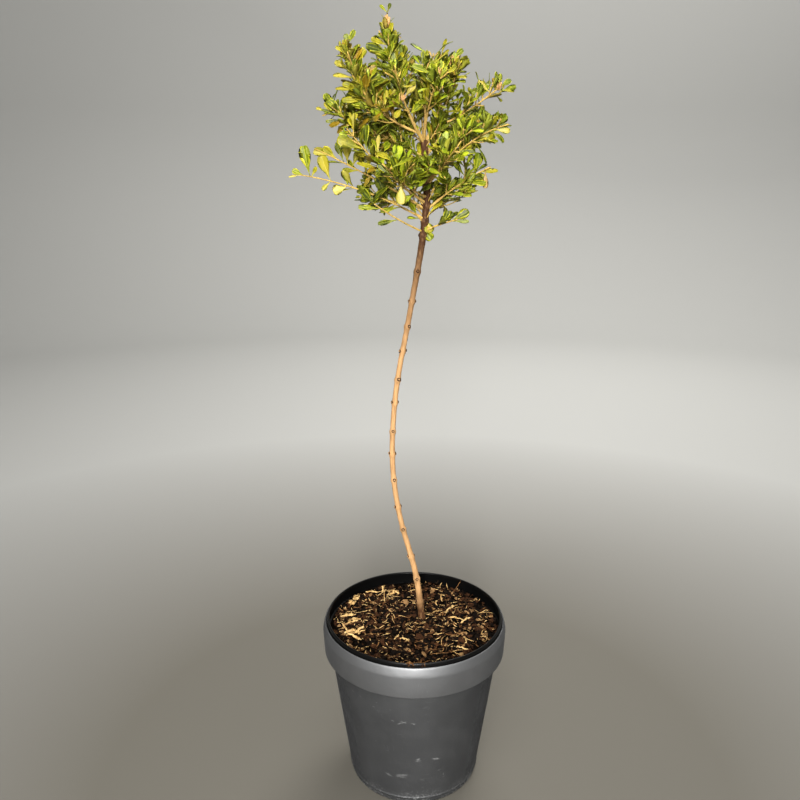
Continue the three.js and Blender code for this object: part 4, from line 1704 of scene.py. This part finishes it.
# papery scales: limb, share along it, the way they point and their length in millimetres
paperyTips = (
    ("top", 0.9, (0.1, 0, 1), 7.0),
    ("left_top", 0.9, (-0.2, 0, 1), 4.6),
    ("left_top", 0.75, (-0.4, -0.1, 0.8), 3.6),
    ("right_top", 0.9, (0.1, 0, 1), 6.0),
    ("front_top_right", 0.9, (-0.1, 0, 1), 5.4),
    ("right_high", 0.85, (0.2, 0, 1), 5.5),
    ("front_top_left", 0.6, (0, -0.2, 1), 6.0),
)
for name, share, heading, size in paperyTips:
    place = along(limbs[name], share)[0]
    for _ in range(2):
        offset = randomWay(rng, 0.8, 0.8) * mm
        addSheath(place + offset, Vector(heading).normalized(), size * rng.uniform(0.7, 1) * mm, rng)

# leaves placed one by one: share along the limb, heading seen from the front in degrees (0 is right,
# 90 is up), length and width in millimetres, kind
limbLeaves = {
    "left_low": (
        (0.86, 100, 24, 9.5, "Green"),
        (0.72, 110, 21, 9.5, "Gold"),
        (0.85, 60, 9, 4, "Olive"),
        (0.9, 155, 10, 5, "Green"),
        (0.92, 190, 10, 3, "Straw"),
        (0.72, 225, 10, 4, "Gold"),
        (0.6, 200, 13, 9, "Straw"),
        (0.6, 100, 10, 6, "Green"),
        (0.5, 60, 12, 4, "Bronze"),
        (0.3, 115, 22, 9, "Deep"),
        (0.3, 170, 18, 6, "Deep"),
        (0.2, 190, 18, 5, "Green"),
    ),
    "left_mid": (
        (0.7, 90, 18, 8.5, "Gold"),
        (0.78, 140, 15, 6.5, "Olive"),
        (0.66, 65, 14, 5.5, "Gold"),
        (0.84, 165, 14, 5.5, "Gold"),
        (0.6, 180, 14, 5, "Olive"),
        (0.55, 80, 15, 7.5, "Olive"),
        (0.4, 180, 15, 3.5, "Deep"),
    ),
    "left_back": ((0.68, 180, 22, 3.2, "Deep"), (0.75, 160, 20, 3.2, "Deep")),
    "low_shoot": ((0.5, 190, 18, 4.5, "Deep"), (0.85, 175, 19, 5, "Green"), (1.0, 130, 16, 7, "Deep")),
    "left_top": (
        (0.7, 175, 18, 5, "Gold"),
        (0.8, 45, 16, 7, "Olive"),
        (0.7, 25, 18, 7, "Bronze"),
        (0.6, 40, 18, 8, "Green"),
        (0.6, 178, 21, 6, "Gold"),
        (0.5, 180, 22, 6, "Olive"),
        (0.4, 170, 22, 6, "Green"),
        (0.5, 160, 18, 6, "Olive"),
        (0.45, 175, 18, 6, "Green"),
        (0.55, 110, 15, 7, "Green"),
        (0.75, 155, 16, 5, "Gold"),
        (0.6, 165, 16, 4.5, "Olive"),
        (0.95, 95, 8, 4.5, "Green"),
        (0.95, 60, 12, 4.2, "Green"),
        (0.8, 115, 11, 8, "Gold"),
        (0.65, 85, 13, 7.5, "Olive"),
        (0.6, 45, 10, 8, "Bronze"),
        (0.35, 90, 14, 10, "Straw"),
    ),
    "front_left": ((0.75, 160, 23, 9, "Olive"), (0.5, 165, 24, 4.5, "Olive")),
    "top": (
        (0.5, 140, 17, 7, "Olive"),
        (0.7, 165, 20, 7, "Deep"),
        (0.65, 150, 22, 8, "Olive"),
        (0.6, 175, 20, 6, "Green"),
        (0.75, 160, 15, 6, "Olive"),
        (0.45, 165, 16, 6, "Green"),
        (0.6, 125, 15, 7, "Green"),
        (0.55, 100, 17, 9.5, "Green"),
        (0.62, 150, 16, 6, "Deep"),
        (0.5, 60, 17, 8.5, "Olive"),
        (0.98, 140, 8, 3, "Green"),
        (0.98, 70, 7, 3, "Deep"),
        (0.8, 80, 10, 7, "Green"),
        (0.78, 145, 10, 5, "Green"),
        (0.72, 70, 10, 8.5, "Gold"),
    ),
    "front_top_left": ((0.6, 50, 14, 6, "Straw"), (0.4, 45, 13, 8, "Green")),
    "right_high": (
        (0.75, 140, 15, 5, "Straw"),
        (0.82, -5, 15, 3.2, "Olive"),
        (0.86, 30, 11, 5, "Green"),
        (0.8, 100, 10, 3, "Bronze"),
    ),
    "right_top": ((0.85, 65, 10, 7, "Lime"), (0.92, 35, 11, 4.5, "Green"), (0.8, 20, 10, 6, "Olive")),
    "front_top_right": ((0.85, 80, 12, 7.5, "Green"), (0.7, 40, 14, 5, "Olive")),
    "right_front": (
        (0.45, 90, 16, 9, "Olive"),
        (0.65, 10, 15, 7, "Olive"),
        (0.82, -5, 13, 5, "Gold"),
        (0.5, 225, 13, 7, "Gold"),
    ),
    "right_low": (
        (0.75, 80, 18, 8.5, "Green"),
        (0.6, 40, 12, 5.5, "Olive"),
        (0.82, 5, 15, 4.5, "Olive"),
        (0.6, 12, 18, 8.5, "Green"),
        (0.9, -90, 15, 5, "Dry"),
        (0.45, -5, 18, 7.5, "Green"),
        (0.4, 28, 12, 4.5, "Lime"),
    ),
    "right_lowest": ((0.6, 30, 17, 8.5, "Deep"), (0.45, 75, 11, 6, "Deep"), (0.6, 0, 15, 3.5, "Green")),
    "front_low_left": ((0.6, -90, 18, 8.5, "Straw"), (0.25, 215, 16, 7.5, "Lime")),
}
# the two lowest leaves, on the stem itself: height, then as above
stemLeaves = ((519, -70, 13, 9, "Gold"), (510, -50, 11, 8, "Green"))


def growLoneLeaf(base, degrees, length, width, kind):
    # seen broadside from the front, on a stub that runs back to the nearest twig
    turn = math.radians(degrees)
    direction = Vector((math.cos(turn), -0.2, math.sin(turn))).normalized()
    facing = Vector((rng.gauss(0, 0.22), -1, 0.4 + rng.gauss(0, 0.2)))
    bend = math.radians(rng.gauss(-10, 8))
    fold = rng.uniform(0.1, 0.4)
    twist = math.radians(rng.gauss(0, 14))
    addLeaf(leafHeaps[kind], base, direction, facing, length * mm, width * mm, bend, fold, twist, rng)
    nearest = min(woodPoints, key=lambda spot: (spot - base).length)
    if (nearest - base).length > 0.5 * mm:
        middle = nearest.lerp(base, 0.5) + up * 0.4 * mm
        addTube(twigHeap, [nearest, middle, base], [0.6 * mm, 0.5 * mm, 0.42 * mm], 6)
    leafCount["made"] += 1


for name, rows in limbLeaves.items():
    for share, *leaf in rows:
        growLoneLeaf(along(limbs[name], share)[0], *leaf)
for height, *leaf in stemLeaves:
    growLoneLeaf(stemAt(height), *leaf)

boughPiece = heapPiece("boughBark", boughHeap, [newBark("boughFinish")])
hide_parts(*[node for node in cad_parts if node.startswith("bough_")])
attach(boughPiece, "root")
twigPiece = heapPiece("twigs", twigHeap, [newBark("twigFinish")])
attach(twigPiece, "root")
sheathPiece = heapPiece("youngTips", sheathHeap, [newBark("tipFinish")])
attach(sheathPiece, "root")
print("wood made")


leafTones = {
    "deepShare": (0.7, 0.76, 0.56),
    "paleKinds": ("Gold", "Straw", "Dry"),
    "paleKindsDeepShare": (0.86, 0.88, 0.76),
    "paleTowards": (214, 204, 100),
    "paleShare": 0.24,
}


def leafFinishes(kind):
    # a finish for each part of the leaf, in the order of its slots
    t = leafTones
    finishes = []
    darker = t["paleKindsDeepShare"] if kind in t["paleKinds"] else t["deepShare"]
    for part, colour in zip(("Blade", "Margin", "Rib", "Back"), leafKinds[kind]):
        deep = [value * share for value, share in zip(colour, darker)]
        pale = [lerp(value, limit, t["paleShare"]) for value, limit in zip(colour, t["paleTowards"])]
        colours = {**tonePaints((colour, deep, pale)), "Gloss": 0.55 if part == "Back" else 0.4}
        name = "leaf" + kind + part
        finishes.append(newFinish(name, "leaf", colours, 0.25, 0.3 * mm, Specular_IOR_Level=0.17))
    return finishes


for kind, heap in leafHeaps.items():
    if not heap["faces"]:
        continue
    piece = heapPiece("leaves" + kind, heap, leafFinishes(kind))
    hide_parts(*masses)
    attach(piece, "root")
print("leaves:", leafCount)
